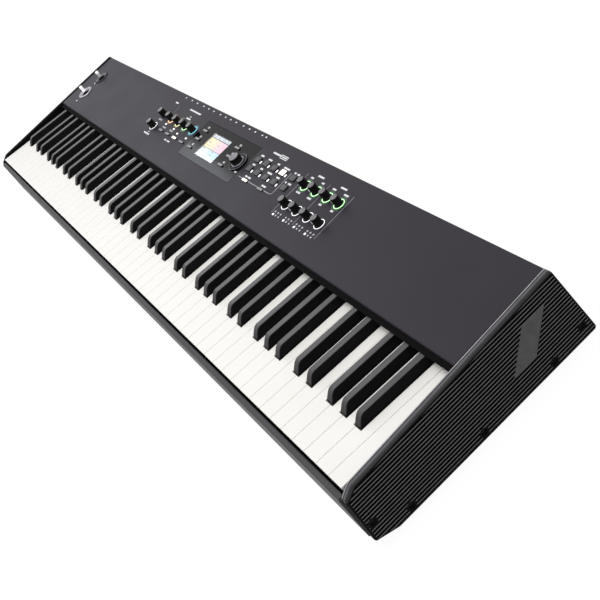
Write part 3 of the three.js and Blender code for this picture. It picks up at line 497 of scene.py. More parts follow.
# Stick stems that glow a little though they are no lamps: painted light that makes the plastic read brighter
WHITE_STEM_PAINTED_GLOW = lamp("white_stem_painted_glow", (236, 236, 238), (246, 246, 248), 0.6)
GREY_STEM_PAINTED_GLOW = lamp("grey_stem_painted_glow", (170, 169, 172), (186, 185, 188), 0.35)
WHITE_GLOW = lamp("white_glow", (236, 236, 238), (248, 248, 250), 1)
CREAM_GLOW = lamp("cream_glow", (250, 240, 222), (255, 248, 234), 1.2)
ORANGE_GLOW = lamp("orange_glow", (250, 216, 176), (255, 228, 192), 1.4)
YELLOW_GLOW = lamp("yellow_glow", (240, 238, 184), (248, 246, 198), 1.4)
GREEN_GLOW = lamp("green_glow", (190, 244, 182), (214, 254, 204), 1.5)
CYAN_GLOW = lamp("cyan_glow", (124, 194, 206), (146, 210, 220), 1.2)
# Painted light: glowing rings on the panel that stand for the light spilled from the rings
ORANGE_PAINTED_SPILL = lamp("orange_painted_spill", (84, 48, 24), (98, 58, 30), 0.8)
YELLOW_PAINTED_SPILL = lamp("yellow_painted_spill", (56, 54, 22), (68, 66, 28), 0.8)
GREEN_PAINTED_SPILL = lamp("green_painted_spill", (14, 52, 18), (22, 62, 26), 0.8)
CYAN_PAINTED_SPILL = lamp("cyan_painted_spill", (14, 56, 72), (22, 72, 90), 0.8)
SCREEN_DARK = surface("screen_frame", (12, 12, 14), 6, (0.3, 0.4), mottle=6)
TILE_FADE = (-0.062, -0.026)
SCREEN_TILES = [
    lamp("screen_header", (196, 204, 208), (214, 220, 224), 0.5, mottle=9),
    lamp("screen_upper", (236, 222, 172), (240, 194, 210), 0.5, fade=TILE_FADE),
    lamp("screen_lower", (212, 218, 218), (192, 220, 238), 0.5, fade=TILE_FADE),
    lamp("screen_mark", (160, 168, 178), (180, 186, 194), 0.45, mottle=5),
]
HEADER, UPPER_TILE, LOWER_TILE, MARK = range(1, 5)


# Keys
def step_of(natural):
    """Step of a natural in its octave, C being 0."""
    return (natural - LEADING_KEYS + OCTAVE) % OCTAVE


def sharp_middle(natural):
    """Middle of the sharp that follows a natural, or None where there is none."""
    share = SHARP_SHARES.get(step_of(natural))
    if share is None or not 0 <= natural < WHITE_KEYS - 1:
        return None
    return KEYS_LEFT + (natural + 1 + share) * KEY_PITCH


def natural_plan(natural, side=0, front=0):
    """Plan of a natural and the sides of its tail, drawn in from its sides and its front."""
    left = KEYS_LEFT + natural * KEY_PITCH + KEY_GAP / 2 + side
    right = left + KEY_PITCH - KEY_GAP - 2 * side
    slot = SHARP_WIDTH / 2 + SHARP_SPACE + side
    before, after = sharp_middle(natural - 1), sharp_middle(natural)
    tail_left = left if before is None else before + slot
    tail_right = right if after is None else after - slot
    head = HEAD_DEPTH - side
    points = [(left, front), (right, front)]
    if tail_right < right:
        points += [(right, head), (tail_right, head)]
    points += [(tail_right, KEY_REACH), (tail_left, KEY_REACH)]
    if tail_left > left:
        points += [(tail_left, head), (left, head)]
    return points, tail_left, tail_right


def pivot_bar(shell, back, first, last):
    """Bar of a comb, square above and round below."""
    left = KEYS_LEFT + first * KEY_PITCH + KEY_GAP
    right = KEYS_LEFT + (last + 1) * KEY_PITCH - KEY_GAP
    top = PIVOT_HEIGHT + BAR_RADIUS
    points = [(back - BAR_RADIUS, top), *arc(back, PIVOT_HEIGHT, BAR_RADIUS, 180, 360, 12)]
    points.append((back + BAR_RADIUS, top))
    shell.prism(points, left, right, along_x)


def natural_keys(number, first, last):
    shell = Shell()
    rear = WHITE_PIVOT_BACK + BAR_RADIUS
    for natural in range(first, last + 1):
        cap, tail_left, tail_right = natural_plan(natural, -KEY_CAP_SPREAD)
        stem, _, _ = natural_plan(natural, KEY_SIDE_INSET, KEY_LIP)
        shell.paint = 0
        shell.rings([[(x, y, key_top(y) - drop) for x, y in cap] for drop in (KEY_CAP, 0)])
        shell.paint = 1
        cap_low = [(x, y, key_top(y) - KEY_CAP) for x, y in stem]
        shell.rings([[(x, y, LEVER_LOW) for x, y in stem], cap_low])
        shell.block(tail_left, tail_right, KEY_REACH - OVERLAP, rear, LEVER_LOW, LEVER_HIGH)
    pivot_bar(shell, WHITE_PIVOT_BACK, first, last)
    body = f"natural_keys_{number}"
    piece(f"naturals_{number}", shell, case_space(), [IVORY, IVORY_SIDE], body, [body],
          bevel=KEY_EDGE, steps=3)


def sharp_keys(number, first, last):
    shell = Shell()
    front = HEAD_DEPTH + SHARP_SPACE
    rear = SHARP_PIVOT_BACK + BAR_RADIUS
    half = SHARP_TOP_WIDTH / 2
    taper = (SHARP_WIDTH - SHARP_TOP_WIDTH) / 2
    profile = [(front, SHARP_ROOT)]
    profile += [(front + back * SHARP_LEAN, up) for back, up in SHARP_NOSE]
    profile += [(KEY_REACH, 1), (KEY_REACH, SHARP_ROOT)]
    for natural in range(first, last + 1):
        middle = sharp_middle(natural)
        if middle is None:
            continue
        shell.rings([[
            (middle + side * (SHARP_WIDTH / 2 - taper * up), y, key_top(y) + up * SHARP_RISE)
            for y, up in profile
        ] for side in (-1, 1)])
        sides = (middle - half, middle + half)
        shell.block(*sides, front + OVERLAP, KEY_REACH - OVERLAP, SHARP_LOW, key_top(KEY_REACH))
        shell.block(*sides, KEY_REACH - 2 * OVERLAP, rear, SHARP_LOW, SHARP_LOW + SHARP_LEVER)
    pivot_bar(shell, SHARP_PIVOT_BACK, first, last)
    body = f"sharp_keys_{number}"
    piece(f"sharps_{number}", shell, case_space(), [EBONY], body, [body],
          bevel=SHARP_EDGE, steps=4)


def build_keys():
    octaves = (WHITE_KEYS - LEADING_KEYS - 1) // OCTAVE
    for number in range(1, octaves + 1):
        end = LEADING_KEYS + number * OCTAVE - 1
        first = 0 if number == 1 else end - OCTAVE + 1
        last = WHITE_KEYS - 1 if number == octaves else end
        natural_keys(number, first, last)
        sharp_keys(number, first, last)


build_keys()


# Rail and cheeks
RAIL_FRONT = -9
RAIL_BACK = -2.5
RAIL_TOP = 67
RAIL_ROUND = 2.6
RAIL_REAR_ROUND = 0.8
TOE_BACK = 17
TOE_FRONT = -8
TOE_RISE = 8.2


def toe_height(back):
    return (back - TOE_BACK) * (TOE_RISE / (TOE_FRONT - TOE_BACK))


def build_rail():
    shell = Shell()
    points = [
        (RAIL_FRONT, toe_height(RAIL_FRONT)),
        (RAIL_BACK, toe_height(RAIL_BACK)),
        *arc(RAIL_BACK - RAIL_REAR_ROUND, RAIL_TOP - RAIL_REAR_ROUND, RAIL_REAR_ROUND, 0, 90, 3),
        *arc(RAIL_FRONT + RAIL_ROUND, RAIL_TOP - RAIL_ROUND, RAIL_ROUND, 90, 180, 8),
    ]
    shell.prism(points, -INNER_HALF, INNER_HALF, along_x)
    piece("front_rail_cover", shell, case_space(), [RAIL], stands_for=["front_rail"])


CHEEK_POINTS = [
    (TOE_BACK, 0), (281.6, 0), (268.8, 92.4), (7.4, 75.5), (-6.4, 66.5), (TOE_FRONT, TOE_RISE),
]
CHEEK_CORNERS = [6, 3.5, 3.5, 7, 4.5, 2.5]
CHEEK_LEAST_CORNER = 0.6
CHEEK_THICKNESS = CHEEK_OUTER - CHEEK_INNER
# Edge by edge from the underside round the rear: how far the outer face is rounded off
CHEEK_ROUNDS = [1, 1.4, 3.2, 3.2, 2.2, 1.2]
CHEEK_BORDERS = [1.8, 2, 3.8, 3.6, 2.8, 2]
CHEEK_LEVELS = [6.8, 7.8, 8.7, 9.4, 9.8, 10]
CHEEK_CHAMFER = 1.3
# Distance out and depth of the groove along the top
CHEEK_GROOVE = [(2.5, 0), (2.9, 0.8), (3.3, 0.8), (4.3, 0)]
# Faces that look up this much take another finish from each of these distances outwards: on the right cheek
# these are painted highlights of the light on its top edge
TOP_FACING = 0.35
TOP_BORDERS = (CHEEK_GROOVE[0][0], 6)
FIELD_DRAFT = 0.2
FIELD_MARGIN = 0.1
RIB_PITCH = 4.05
RIB_WIDTH = 1.6
RIB_DEPTH = 1.1
RIB_EDGE = 0.22
RIB_FLOOR = CHEEK_THICKNESS - RIB_DEPTH
RIB_ROOT = RIB_FLOOR - 0.3
LAND = [(183, 28), (213, 28), (247, 69), (217, 69)]
LAND_EDGE = 0.5
SCREWS = [(268, 15), (1, 27.7), (37, 8), (131.5, 8), (226, 8)]
SCREW_BOSS = 5.6
SCREW_RECESS = 3.4
SCREW_DEPTH = 5
BOSS_RING = [
    (SCREW_RECESS, RIB_ROOT), (SCREW_BOSS, RIB_ROOT), (SCREW_BOSS, CHEEK_THICKNESS - 0.3),
    (SCREW_BOSS - 0.3, CHEEK_THICKNESS), (SCREW_RECESS + 0.5, CHEEK_THICKNESS),
    (SCREW_RECESS, CHEEK_THICKNESS - 0.5),
]
SUNK_HEAD_LEVEL = CHEEK_THICKNESS - SCREW_DEPTH + 0.1
SUNK_HEAD = [(0, 0), (2.9, 0), (2.9, 1), (2.5, 1.5), (1.2, 1.6), (1.1, 0.6), (0, 0.5)]


def cheek_ring(distances, outward):
    corners = [max(r - d, CHEEK_LEAST_CORNER) for r, d in zip(CHEEK_CORNERS, distances)]
    points = rounded(inset(CHEEK_POINTS, distances), corners)
    return [(outward, y, z) for y, z in points]


def rounding(radius, outward):
    """How far an edge of that radius has drawn in at a distance out from the inner face."""
    into = max(0, outward - (CHEEK_THICKNESS - radius))
    return radius - math.sqrt(max(0, radius * radius - into * into))


def rib_parts(field, low, high):
    """Stretches of a rib between two heights, each as its ends at the low and at the high edge."""
    ends = [span(field, low), span(field, high)]
    if None in ends:
        return []
    middle = (low + high) / 2
    bottom, top = LAND[0][1], LAND[2][1]
    blocks = []
    if bottom < middle < top:
        blocks.append([span(LAND, min(max(z, bottom), top)) for z in (low, high)])
    for back, height in SCREWS:
        if abs(middle - height) < SCREW_BOSS:
            reaches = [math.sqrt(max(0, SCREW_BOSS * SCREW_BOSS - (z - height) ** 2)) for z in (low, high)]
            blocks.append([(back - reach, back + reach) for reach in reaches])
    stretches = [ends]
    for (e, f), (g, h) in blocks:
        kept = []
        for (a, b), (c, d) in stretches:
            if max(f, h) < min(a, c) or min(e, g) > max(b, d):
                kept.append([(a, b), (c, d)])
                continue
            if min(e, g) > max(a, c):
                kept.append([(a, e), (c, g)])
            if max(f, h) < min(b, d):
                kept.append([(f, b), (h, d)])
        stretches = kept
    return stretches


def add_rib(shell, stretch, low, high):
    """Rib with dark flanks and a face painted lighter: a painted highlight of the light that the raised rib
    catches.
    """
    (a, b), (c, d) = stretch
    levels = ((RIB_ROOT, 0), (CHEEK_THICKNESS - RIB_EDGE, 0), (CHEEK_THICKNESS, RIB_EDGE))
    shell.rings([[
        (outward, a, low + edge), (outward, b, low + edge),
        (outward, d, high - edge), (outward, c, high - edge),
    ] for outward, edge in levels])
    shell.bm.faces.ensure_lookup_table()
    # The rib's outer face takes the painted highlight
    shell.bm.faces[-1].material_index = 1


def cheek_slab():
    """Cheek without its ribs, with holes for the screws and with its top faces marked for their painted
    highlights.
    """
    slab = Shell()
    chamfer = [0, 0, CHEEK_CHAMFER, CHEEK_CHAMFER, 0, 0]
    rings = [cheek_ring(chamfer, 0), cheek_ring([0] * len(CHEEK_POINTS), CHEEK_CHAMFER)]
    for outward, depth in CHEEK_GROOVE:
        rings.append(cheek_ring([0, 0, depth, depth, depth / 2, 0], outward))
    for outward in CHEEK_LEVELS:
        rings.append(cheek_ring([rounding(r, outward) for r in CHEEK_ROUNDS], outward))
    rings.append(cheek_ring(CHEEK_BORDERS, CHEEK_THICKNESS))
    rings.append(cheek_ring([distance + FIELD_DRAFT for distance in CHEEK_BORDERS], RIB_FLOOR))
    slab.rings(rings)
    drill = Shell()
    hole = [(SCREW_RECESS, CHEEK_THICKNESS - SCREW_DEPTH), (SCREW_RECESS, CHEEK_THICKNESS + OVERLAP)]
    for back, height in SCREWS:
        drill.turned(hole, y=back, z=height, put=along_x, steps=24)
    shell = carved(slab, drill)
    # Faces that look up get the slots of the painted highlights
    for face in shell.bm.faces:
        if face.normal.z > TOP_FACING:
            outward = face.calc_center_median().x
            face.material_index = 3 + sum(outward > border for border in TOP_BORDERS)
    return shell


def build_cheek(side, mirror, painted_top_highlights):
    shell = cheek_slab()
    field = inset(CHEEK_POINTS, [distance - FIELD_MARGIN for distance in CHEEK_BORDERS])
    count = int(max(z for _, z in field) / RIB_PITCH)
    for i in range(1, count + 1):
        low, high = i * RIB_PITCH, i * RIB_PITCH + RIB_WIDTH
        for stretch in rib_parts(field, low, high):
            add_rib(shell, stretch, low, high)
    shell.paint = 2
    edged(shell, LAND, RIB_ROOT, CHEEK_THICKNESS, LAND_EDGE, along_x)
    shell.paint = 0
    heads = Shell()
    head = [(radius, SUNK_HEAD_LEVEL + level) for radius, level in SUNK_HEAD]
    for back, height in SCREWS:
        shell.turned(BOSS_RING, y=back, z=height, put=along_x, closed=True, steps=32)
        heads.turned(head, y=back, z=height, put=along_x, steps=24)
    space = case_space() @ mirror @ Matrix.Translation((CHEEK_INNER, 0, 0))
    piece(f"{side}_cheek_shell", shell, space, [CHEEK, CHEEK_RIB_HIGHLIGHT, CHEEK_LAND, *painted_top_highlights],
          stands_for=[f"{side}_cheek"], sharp=40)
    piece(f"{side}_cheek_screws", heads, space, [BLACK_STEEL])


build_rail()
build_cheek("right", Matrix.Identity(4), CHEEK_PAINTED_HIGHLIGHTS)
# The left cheek's top faces away from the light, so it keeps plain black there instead of painted highlights
build_cheek("left", Matrix.Scale(-1, 4, (1, 0, 0)), [CHEEK] * len(CHEEK_PAINTED_HIGHLIGHTS))


# Panel, window and display
WIDE_CAP = (12, 8.6)
SLIM_CAP = (13.5, 3.6)
CAP_RISE = 1.8
CAP_CORNER = 0.9
SLIDE_GAP = 0.4
WEB_TOP = -PANEL_SHEET - SEAT_GAP
WEB_LOW = WEB_TOP - 1.4
WEB_MARGIN = 2
# Levels of a cap's body and of its face, and the share of the outline that they keep
CAP_BODY = [(WEB_LOW + 0.1, 1), (CAP_RISE - 0.5, 1), (CAP_RISE - 0.4, 0.985)]
CAP_FACE = [(CAP_RISE - 0.45, 0.98), (CAP_RISE - 0.15, 0.96), (CAP_RISE, 0.9)]
CAP_PIN = [(0, -7.3), (1.3, -7.3), (1.5, -7), (1.5, WEB_LOW + 0.2), (0, WEB_LOW + 0.2)]
KNOB_PITCH = 27.4
ZONE_LEFT = -214
EFFECT_LEFT = 209.2
MASTER = (-246, 47.8)
HEADPHONE = (-246, 72.4)
ZONE_KNOBS = [(ZONE_LEFT + i * KNOB_PITCH, 72.5) for i in range(4)]
EFFECT_REAR = [(EFFECT_LEFT + i * KNOB_PITCH, 80.3) for i in range(4)]
EFFECT_FRONT = [(EFFECT_LEFT + i * KNOB_PITCH, 47.3) for i in range(4)]
DATA_PLACE = (42.4, 64)
DISPLAY_ROWS = (48.1, 64.6, 81.1)
SOUND_ROWS = (64.2, 81.1)
# Size of a cap and the places of the caps of each strip
BUTTONS = {
    "zone_buttons": (SLIM_CAP, [(ZONE_LEFT + 1.2 + i * KNOB_PITCH, 47.8) for i in range(4)]),
    "display_buttons_left": (SLIM_CAP, [(-99, u) for u in DISPLAY_ROWS]),
    "display_buttons_right": (SLIM_CAP, [(11, u) for u in DISPLAY_ROWS]),
    "sound_buttons": (WIDE_CAP, [(77.2 + i * 23.8, u) for i in range(4) for u in SOUND_ROWS]),
    "select_buttons": (SLIM_CAP, [(91.8, 47), (137, 47)]),
    "side_buttons": (WIDE_CAP, [(176.3, u) for u in SOUND_ROWS]),
}
LIT_BUTTONS = {("zone_buttons", 2), ("sound_buttons", 7), ("select_buttons", 0)}
WINDOW = (-116, 61, 31.5, 97.5)
WINDOW_SHEET = 1.2
WINDOW_EDGE = 0.35
PANE_GAP = 0.05
PANE_DROP = 0.02
PANE_EDGE = 0.1
DISPLAY = (-73.2, -14.4, 43, 86)
# Levels of the display's underside, of its rim and of its tiles
DISPLAY_LOW = -11.7
RIM_LOW = -PANEL_SHEET - 0.1
RIM_LEVEL = -1.75
RIM_MARGIN = 1
TILE_LEVEL = -1.65
TILE_SHEET = 0.3
TILE_EDGE = 0.06
TILE_MARGIN = 1.2
TILE_GAP = 0.7
HEADER_DEPTH = 5.8
FOOTER_DEPTH = 4.4
TILE_SPLIT = 60.6
MARK_START = 3
MARK_PITCH = 13.6
# Length of a mark, and its front and rear from the edge or line that it goes by
HEADER_MARK = (8.5, -3.6, -2.2)
FOOTER_MARK = (6, 1.4, 2.6)
TILE_MARKS = [(12, 4, 5), (8, 9, 10.6)]
STICK_LINE = -569
STICK_ROWS = {"pitch": 36.8, "mod": 76}
WELL_OUTER = 12.2
KNOB_HOLE = 3.8


def grown(area, margin):
    left, right, front, rear = area
    return left - margin, right + margin, front - margin, rear + margin


def cap_outline(size, margin=0):
    half, deep = size[0] / 2 + margin, size[1] / 2 + margin
    return rounded(corners_of((-half, half, -deep, deep)), [CAP_CORNER] * 4, 3)


def control_holes(shell):
    for x, y in (MASTER, HEADPHONE, *ZONE_KNOBS, *EFFECT_REAR, *EFFECT_FRONT, DATA_PLACE):
        shell.turned([(KNOB_HOLE, -CUT_DEPTH), (KNOB_HOLE, CUT_REACH)], x, y, steps=24)
    for size, caps in BUTTONS.values():
        for x, y in caps:
            hole = [(x + a, y + b) for a, b in cap_outline(size, SLIDE_GAP)]
            shell.prism(hole, -CUT_DEPTH, CUT_REACH)


def build_panel():
    sheet = Shell()
    points = [
        (-NOSE_REACH, NOSE_LOW),
        *arc(PANEL_NOSE - NOSE_REACH, -PANEL_NOSE, PANEL_NOSE, 180, 90, 10),
        *arc(PANEL_DEPTH - PANEL_REAR_ROUND, -PANEL_REAR_ROUND, PANEL_REAR_ROUND, 90, 0, 4),
        (PANEL_DEPTH, -PANEL_REAR_LIP),
        (PANEL_DEPTH - PANEL_SHEET, -PANEL_REAR_LIP),
        (PANEL_DEPTH - PANEL_SHEET, -PANEL_SHEET),
        (FOLD_BACK, -PANEL_SHEET),
        (FOLD_LOW_BACK, NOSE_LOW),
    ]
    sheet.prism(points, -INNER_HALF, INNER_HALF, along_x)
    cuts = Shell()
    cuts.block(*grown(WINDOW, SEAT_GAP), -WINDOW_SHEET - SEAT_GAP, CUT_REACH)
    cuts.block(*grown(DISPLAY, SEAT_GAP), -CUT_REACH, -OVERLAP)
    for row in STICK_ROWS.values():
        radius = WELL_OUTER + SEAT_GAP
        cuts.turned([(radius, -CUT_REACH), (radius, CUT_REACH)], STICK_LINE, row, steps=48)
    control_holes(cuts)
    piece("panel_sheet", carved(sheet, cuts), panel_space(), [PAINT], stands_for=["top_panel"])
    slip = Shell()
    points = [
        (-SLIP_REACH, SLIP_LOW), (-SLIP_REACH, SLIP_TOP - SLIP_EDGE), (-SLIP_REACH + SLIP_EDGE, SLIP_TOP),
        (SLIP_INNER, SLIP_TOP), (SLIP_INNER, SLIP_LOW),
    ]
    slip.prism(points, -INNER_HALF, INNER_HALF, along_x)
    piece("panel_slip", slip, panel_space(), [SLIP])


def build_window():
    glass = Shell()
    edged(glass, corners_of(WINDOW), -WINDOW_SHEET, 0, WINDOW_EDGE)
    cuts = Shell()
    cuts.block(*DISPLAY, -CUT_REACH, CUT_REACH)
    control_holes(cuts)
    piece("window_mask", carved(glass, cuts), panel_space(), [GLASS], stands_for=["display_window"])
    pane = Shell()
    pane.block(*grown(DISPLAY, -PANE_GAP), -WINDOW_SHEET, -PANE_DROP)
    piece("window_pane", pane, panel_space(), [PANE], bevel=PANE_EDGE)


def tile(shell, left, right, front, rear, level, paint):
    shell.paint = paint
    edged(shell, corners_of((left, right, front, rear)), level - TILE_SHEET, level, TILE_EDGE)


def mark(shell, x, line, shape):
    length, front, rear = shape
    tile(shell, x, x + length, line + front, line + rear, TILE_LEVEL + TILE_EDGE, MARK)


def build_display():
    """Screen with a plain header, two wide tiles that change colour along X, and a footer."""
    shell = Shell()
    shell.block(*DISPLAY, DISPLAY_LOW, -PANEL_SHEET)
    shell.block(*grown(DISPLAY, -RIM_MARGIN), RIM_LOW, RIM_LEVEL)
    left, right, front, rear = grown(DISPLAY, -TILE_MARGIN)
    header = rear - HEADER_DEPTH
    footer = front + FOOTER_DEPTH
    half_gap = TILE_GAP / 2
    for low, high, paint in ((header + TILE_GAP, rear, HEADER),
                             (TILE_SPLIT + half_gap, header - TILE_GAP, UPPER_TILE),
                             (footer + half_gap, TILE_SPLIT - half_gap, LOWER_TILE),
                             (front, footer - half_gap, HEADER)):
        tile(shell, left, right, low, high, TILE_LEVEL, paint)
    for i in range(4):
        x = left + MARK_START + i * MARK_PITCH
        mark(shell, x, rear, HEADER_MARK)
        mark(shell, x, front, FOOTER_MARK)
    for x in (left + MARK_START, (left + right) / 2 + MARK_START):
        for line in (footer, TILE_SPLIT):
            for shape in TILE_MARKS:
                mark(shell, x, line, shape)
    piece("display_screen", shell, panel_space(), [SCREEN_DARK, *SCREEN_TILES],
          stands_for=["display_module"])


# Knobs, dial, buttons and sticks
# Radius and level of the rings of turned shapes
KNOB_BODY = [(5.8, 0.6), (5.8, 1.6), (5.5, 2.1), (5.3, 11.8), (5.1, 12.2), (4.8, 12.4)]
# Count and depth of the flutes, and the two levels between which they run
KNOB_FLUTES = (18, 0.2, 2, 12.1)
KNOB_DISC = [(0, 12.3), (4.7, 12.3), (4.7, 12.45), (4.4, 12.52), (0, 12.52)]
KNOB_POINTER = (-0.45, 0.45, 1.2, 4.3, 12.4, 12.6)
DIAL_SKIRT = [
    (0, 0.6), (15, 0.6), (15, 1.2), (14.8, 1.6), (14.2, 1.7), (13.4, 1.5), (10.4, 1.4), (9.9, 1.5), (0, 1.6),
]
DIAL_BODY = [(8.4, 1.4), (8.4, 3.2), (8.2, 3.7), (8.1, 10.9), (8, 11.3), (7.6, 11.6)]
DIAL_FLUTES = (30, 0.25, 3.6, 11.2)
DIAL_DISC = [(0, 11.5), (7.2, 11.5), (7.2, 11.9), (7, 12), (6, 11.85), (0, 11.75)]
DIAL_FLANGE = [(8.5, 1.5), (9.8, 1.5), (9.8, 2.3), (9.5, 2.7), (8.9, 2.8), (8.5, 2.6)]
DIAL_HIGHLIGHT_LINE = [(14.3, 1.6), (14.9, 1.5), (14.9, 1.8), (14.6, 1.95), (14.3, 1.85)]
COLLAR_RING = [
    (WELL_OUTER, 0.3), (14.2, 0.3), (14.2, 0.8), (13.5, 1.5), (WELL_OUTER, 1.7), (11.1, 1.5), (10.6, 1),
    (10.6, 0.3),
]
CUP_WALL = [
    (0, -16.4), (WELL_OUTER, -16.4), (WELL_OUTER, 0.4), (10.65, 0.4), (10.2, -2), (10.1, -15), (0, -15),
]
CUP_LIP = [(11.5, 1.55), (10.2, 1.2), (7.9, -0.7), (7.6, -1), (7.6, -1.5), (10.7, -0.7), (11.5, 0.6)]
LEVER_DROP = 7
LEVER_BOOT = [(0, -4.2), *arc(0, 0, 4.2, -75, 48, 8), (2.6, 4.6), (2.4, 10.5), (0, 10.5)]
LEVER_SLEEVE = [(0, 10.3), (2.5, 10.3), (2.7, 10.5), (2.7, 18.5), (0, 18.5)]
LEVER_TIP = [(0, 18), (2.8, 18), (3, 21.4), (2.8, 21.8), (2.3, 22), (0, 22)]
LEVER_AXLE = [(0, -8), (0.9, -8), (0.9, 8), (0, 8)]


def fluted(shell, rows, flutes, depth, low, high):
    """Turned body with flutes in the rings between two levels."""
    steps = flutes * 4
    rings = []
    for radius, level in rows:
        flute = depth if low < level < high else 0
        ring = []
        for i in range(steps):
            turn = 2 * math.pi * i / steps
            out = radius - flute * (i % 4 in (0, 1))
            ring.append((out * math.cos(turn), out * math.sin(turn), level))
        rings.append(ring)
    shell.rings(rings)


def build_knob(name, place, pointer=False):
    """Rubber knob with a fluted grip and a satin disc on its top."""
    shell = Shell()
    fluted(shell, KNOB_BODY, *KNOB_FLUTES)
    shell.paint = 1
    shell.turned(KNOB_DISC, steps=36)
    if pointer:
        shell.paint = 2
        shell.block(*KNOB_POINTER)
    piece(f"{name}_cap", shell, panel_space(*place), [KNOB, KNOB_TOP, WHITE_CAP], name, [name],
          sharp=38)


def build_dial():
    """Data dial: a dished skirt, a flange and a thin rim line painted light as painted highlights, a fluted
    body and a satin top.
    """
    shell = Shell()
    shell.turned(DIAL_SKIRT, steps=72)
    fluted(shell, DIAL_BODY, *DIAL_FLUTES)
    shell.paint = 1
    shell.turned(DIAL_DISC, steps=60)
    # The flange and the thin line at the skirt's rim are painted lighter as painted highlights
    shell.paint = 2
    shell.turned(DIAL_FLANGE, steps=72, closed=True)
    shell.paint = 1
    shell.turned(DIAL_HIGHLIGHT_LINE, steps=72, closed=True)
    piece("data_dial_cap", shell, panel_space(*DATA_PLACE), [KNOB, DIAL_TOP, DIAL_RIM_HIGHLIGHT], "data_dial",
          ["data_dial"], sharp=38)


def build_buttons(name, size, caps):
    """Caps of a strip on their web, each with a pin under it."""
    shell = Shell()
    half, deep = size[0] / 2 + WEB_MARGIN, size[1] / 2 + WEB_MARGIN
    xs, ys = zip(*caps)
    shell.paint = 1
    shell.block(min(xs) - half, max(xs) + half, min(ys) - deep, max(ys) + deep, WEB_LOW, WEB_TOP)
    corners = cap_outline(size)
    for i, (x, y) in enumerate(caps):
        shell.paint = 1
        shell.turned(CAP_PIN, x, y)
        for levels in (CAP_BODY, CAP_FACE):
            shell.rings([[(x + a * k, y + b * k, level) for a, b in corners] for level, k in levels])
            shell.paint = 2 if (name, i) in LIT_BUTTONS else 0
    top = LIGHT_BUTTON if size == SLIM_CAP else BUTTON
    piece(f"{name}_caps", shell, panel_space(), [top, DARK, CREAM_GLOW], name, [name])


def build_stick(prefix, stem_finish, rim_finish, lip_finish):
    """Stick in a cup with a collar and a funnel lip, and its lever on a ball in a dark boot."""
    row = STICK_ROWS[prefix]
    cup = Shell()
    cup.turned(COLLAR_RING, closed=True, steps=56)
    cup.paint = 1
    cup.turned(CUP_WALL, steps=56)
    cup.paint = 2
    cup.turned(CUP_LIP, closed=True, steps=56)
    piece(f"{prefix}_stick_cup", cup, panel_space(STICK_LINE, row), [rim_finish, DARK, lip_finish],
          stands_for=[f"{prefix}_stick_housing"])
    lever = Shell()
    # The sleeve and the tip take the stem finishes, which glow with painted light
    for paint, profile in ((1, LEVER_BOOT), (0, LEVER_SLEEVE), (2, LEVER_TIP)):
        lever.paint = paint
        lever.turned(profile, steps=32)
    lever.paint = 1
    lever.turned(LEVER_AXLE, put=along_y, steps=16)
    name = f"{prefix}_stick_lever"
    piece(f"{name}_rod", lever, panel_space(STICK_LINE, row, -LEVER_DROP), [stem_finish, DARK, WHITE_STEM_PAINTED_GLOW],
          name, [name])


build_panel()
build_window()
build_display()
build_knob("master_volume_knob", MASTER, pointer=True)
build_knob("headphone_volume_knob", HEADPHONE, pointer=True)
for i in range(4):
    build_knob(f"zone_knob_{i + 1}", ZONE_KNOBS[i])
    build_knob(f"effect_rear_knob_{i + 1}", EFFECT_REAR[i])
    build_knob(f"effect_front_knob_{i + 1}", EFFECT_FRONT[i])
build_dial()
for strip, (size, places) in BUTTONS.items():
    build_buttons(strip, size, places)
build_stick("pitch", WHITE_STEM_PAINTED_GLOW, COLLAR, COLLAR)
build_stick("mod", GREY_STEM_PAINTED_GLOW, PAINT, KNOB_TOP)


# Light rings, printed marks and lamps
RING_RADIUS = 7.3
RING_SECTION = [(-0.42, -0.6), (0.42, -0.6), (0.42, 0.3), (0.2, 0.5), (-0.2, 0.5), (-0.42, 0.3)]
# Section of the painted light spill round a ring
PAINTED_SPILL_SECTION = [(-1.4, -0.05), (3.4, -0.05), (3.4, 0.05), (-1.4, 0.05)]


def build_rings(name, places, glows, painted_spills=()):
    """Light rings round knobs, each with a dim painted glow of its light spilled on the panel."""
    shell = Shell()
    for i, (x, y) in enumerate(places):
        shell.paint = min(i, len(glows) - 1)
        for section in (RING_SECTION, PAINTED_SPILL_SECTION) if painted_spills else (RING_SECTION,):
            shell.turned([(RING_RADIUS + a, b) for a, b in section], x, y, closed=True, steps=48)
            shell.paint += len(glows)
    piece(name, shell, panel_space(), [*glows, *painted_spills])


build_rings("zone_light_rings", ZONE_KNOBS, [ORANGE_GLOW, YELLOW_GLOW, GREEN_GLOW, CYAN_GLOW],
            [ORANGE_PAINTED_SPILL, YELLOW_PAINTED_SPILL, GREEN_PAINTED_SPILL, CYAN_PAINTED_SPILL])
build_rings("effect_rear_light_rings", EFFECT_REAR, [GREEN_GLOW], [GREEN_PAINTED_SPILL])
build_rings("effect_front_light_rings", [MASTER, *EFFECT_FRONT], [WHITE_GLOW])


PRINT_ROOT = -0.05
DASH_TOP = 0.06
STROKE_TOP = 0.05


def dash(shell, x, y, length, height=2.6):
    """Short printed dash along X, centred on a place."""
    shell.block(x - length / 2, x + length / 2, y - height / 2, y + height / 2, PRINT_ROOT, DASH_TOP)


def stroke(shell, points, width=0.9):
    """Thin printed line through points."""
    for (a, b), (c, d) in zip(points, points[1:]):
        way = Vector((c - a, d - b)).normalized() * width / 2
        off = Vector((-way.y, way.x))
        corners = [Vector((a, b)) - way - off, Vector((c, d)) + way - off,
                   Vector((c, d)) + way + off, Vector((a, b)) - way + off]
        shell.prism([tuple(corner) for corner in corners], PRINT_ROOT, STROKE_TOP)


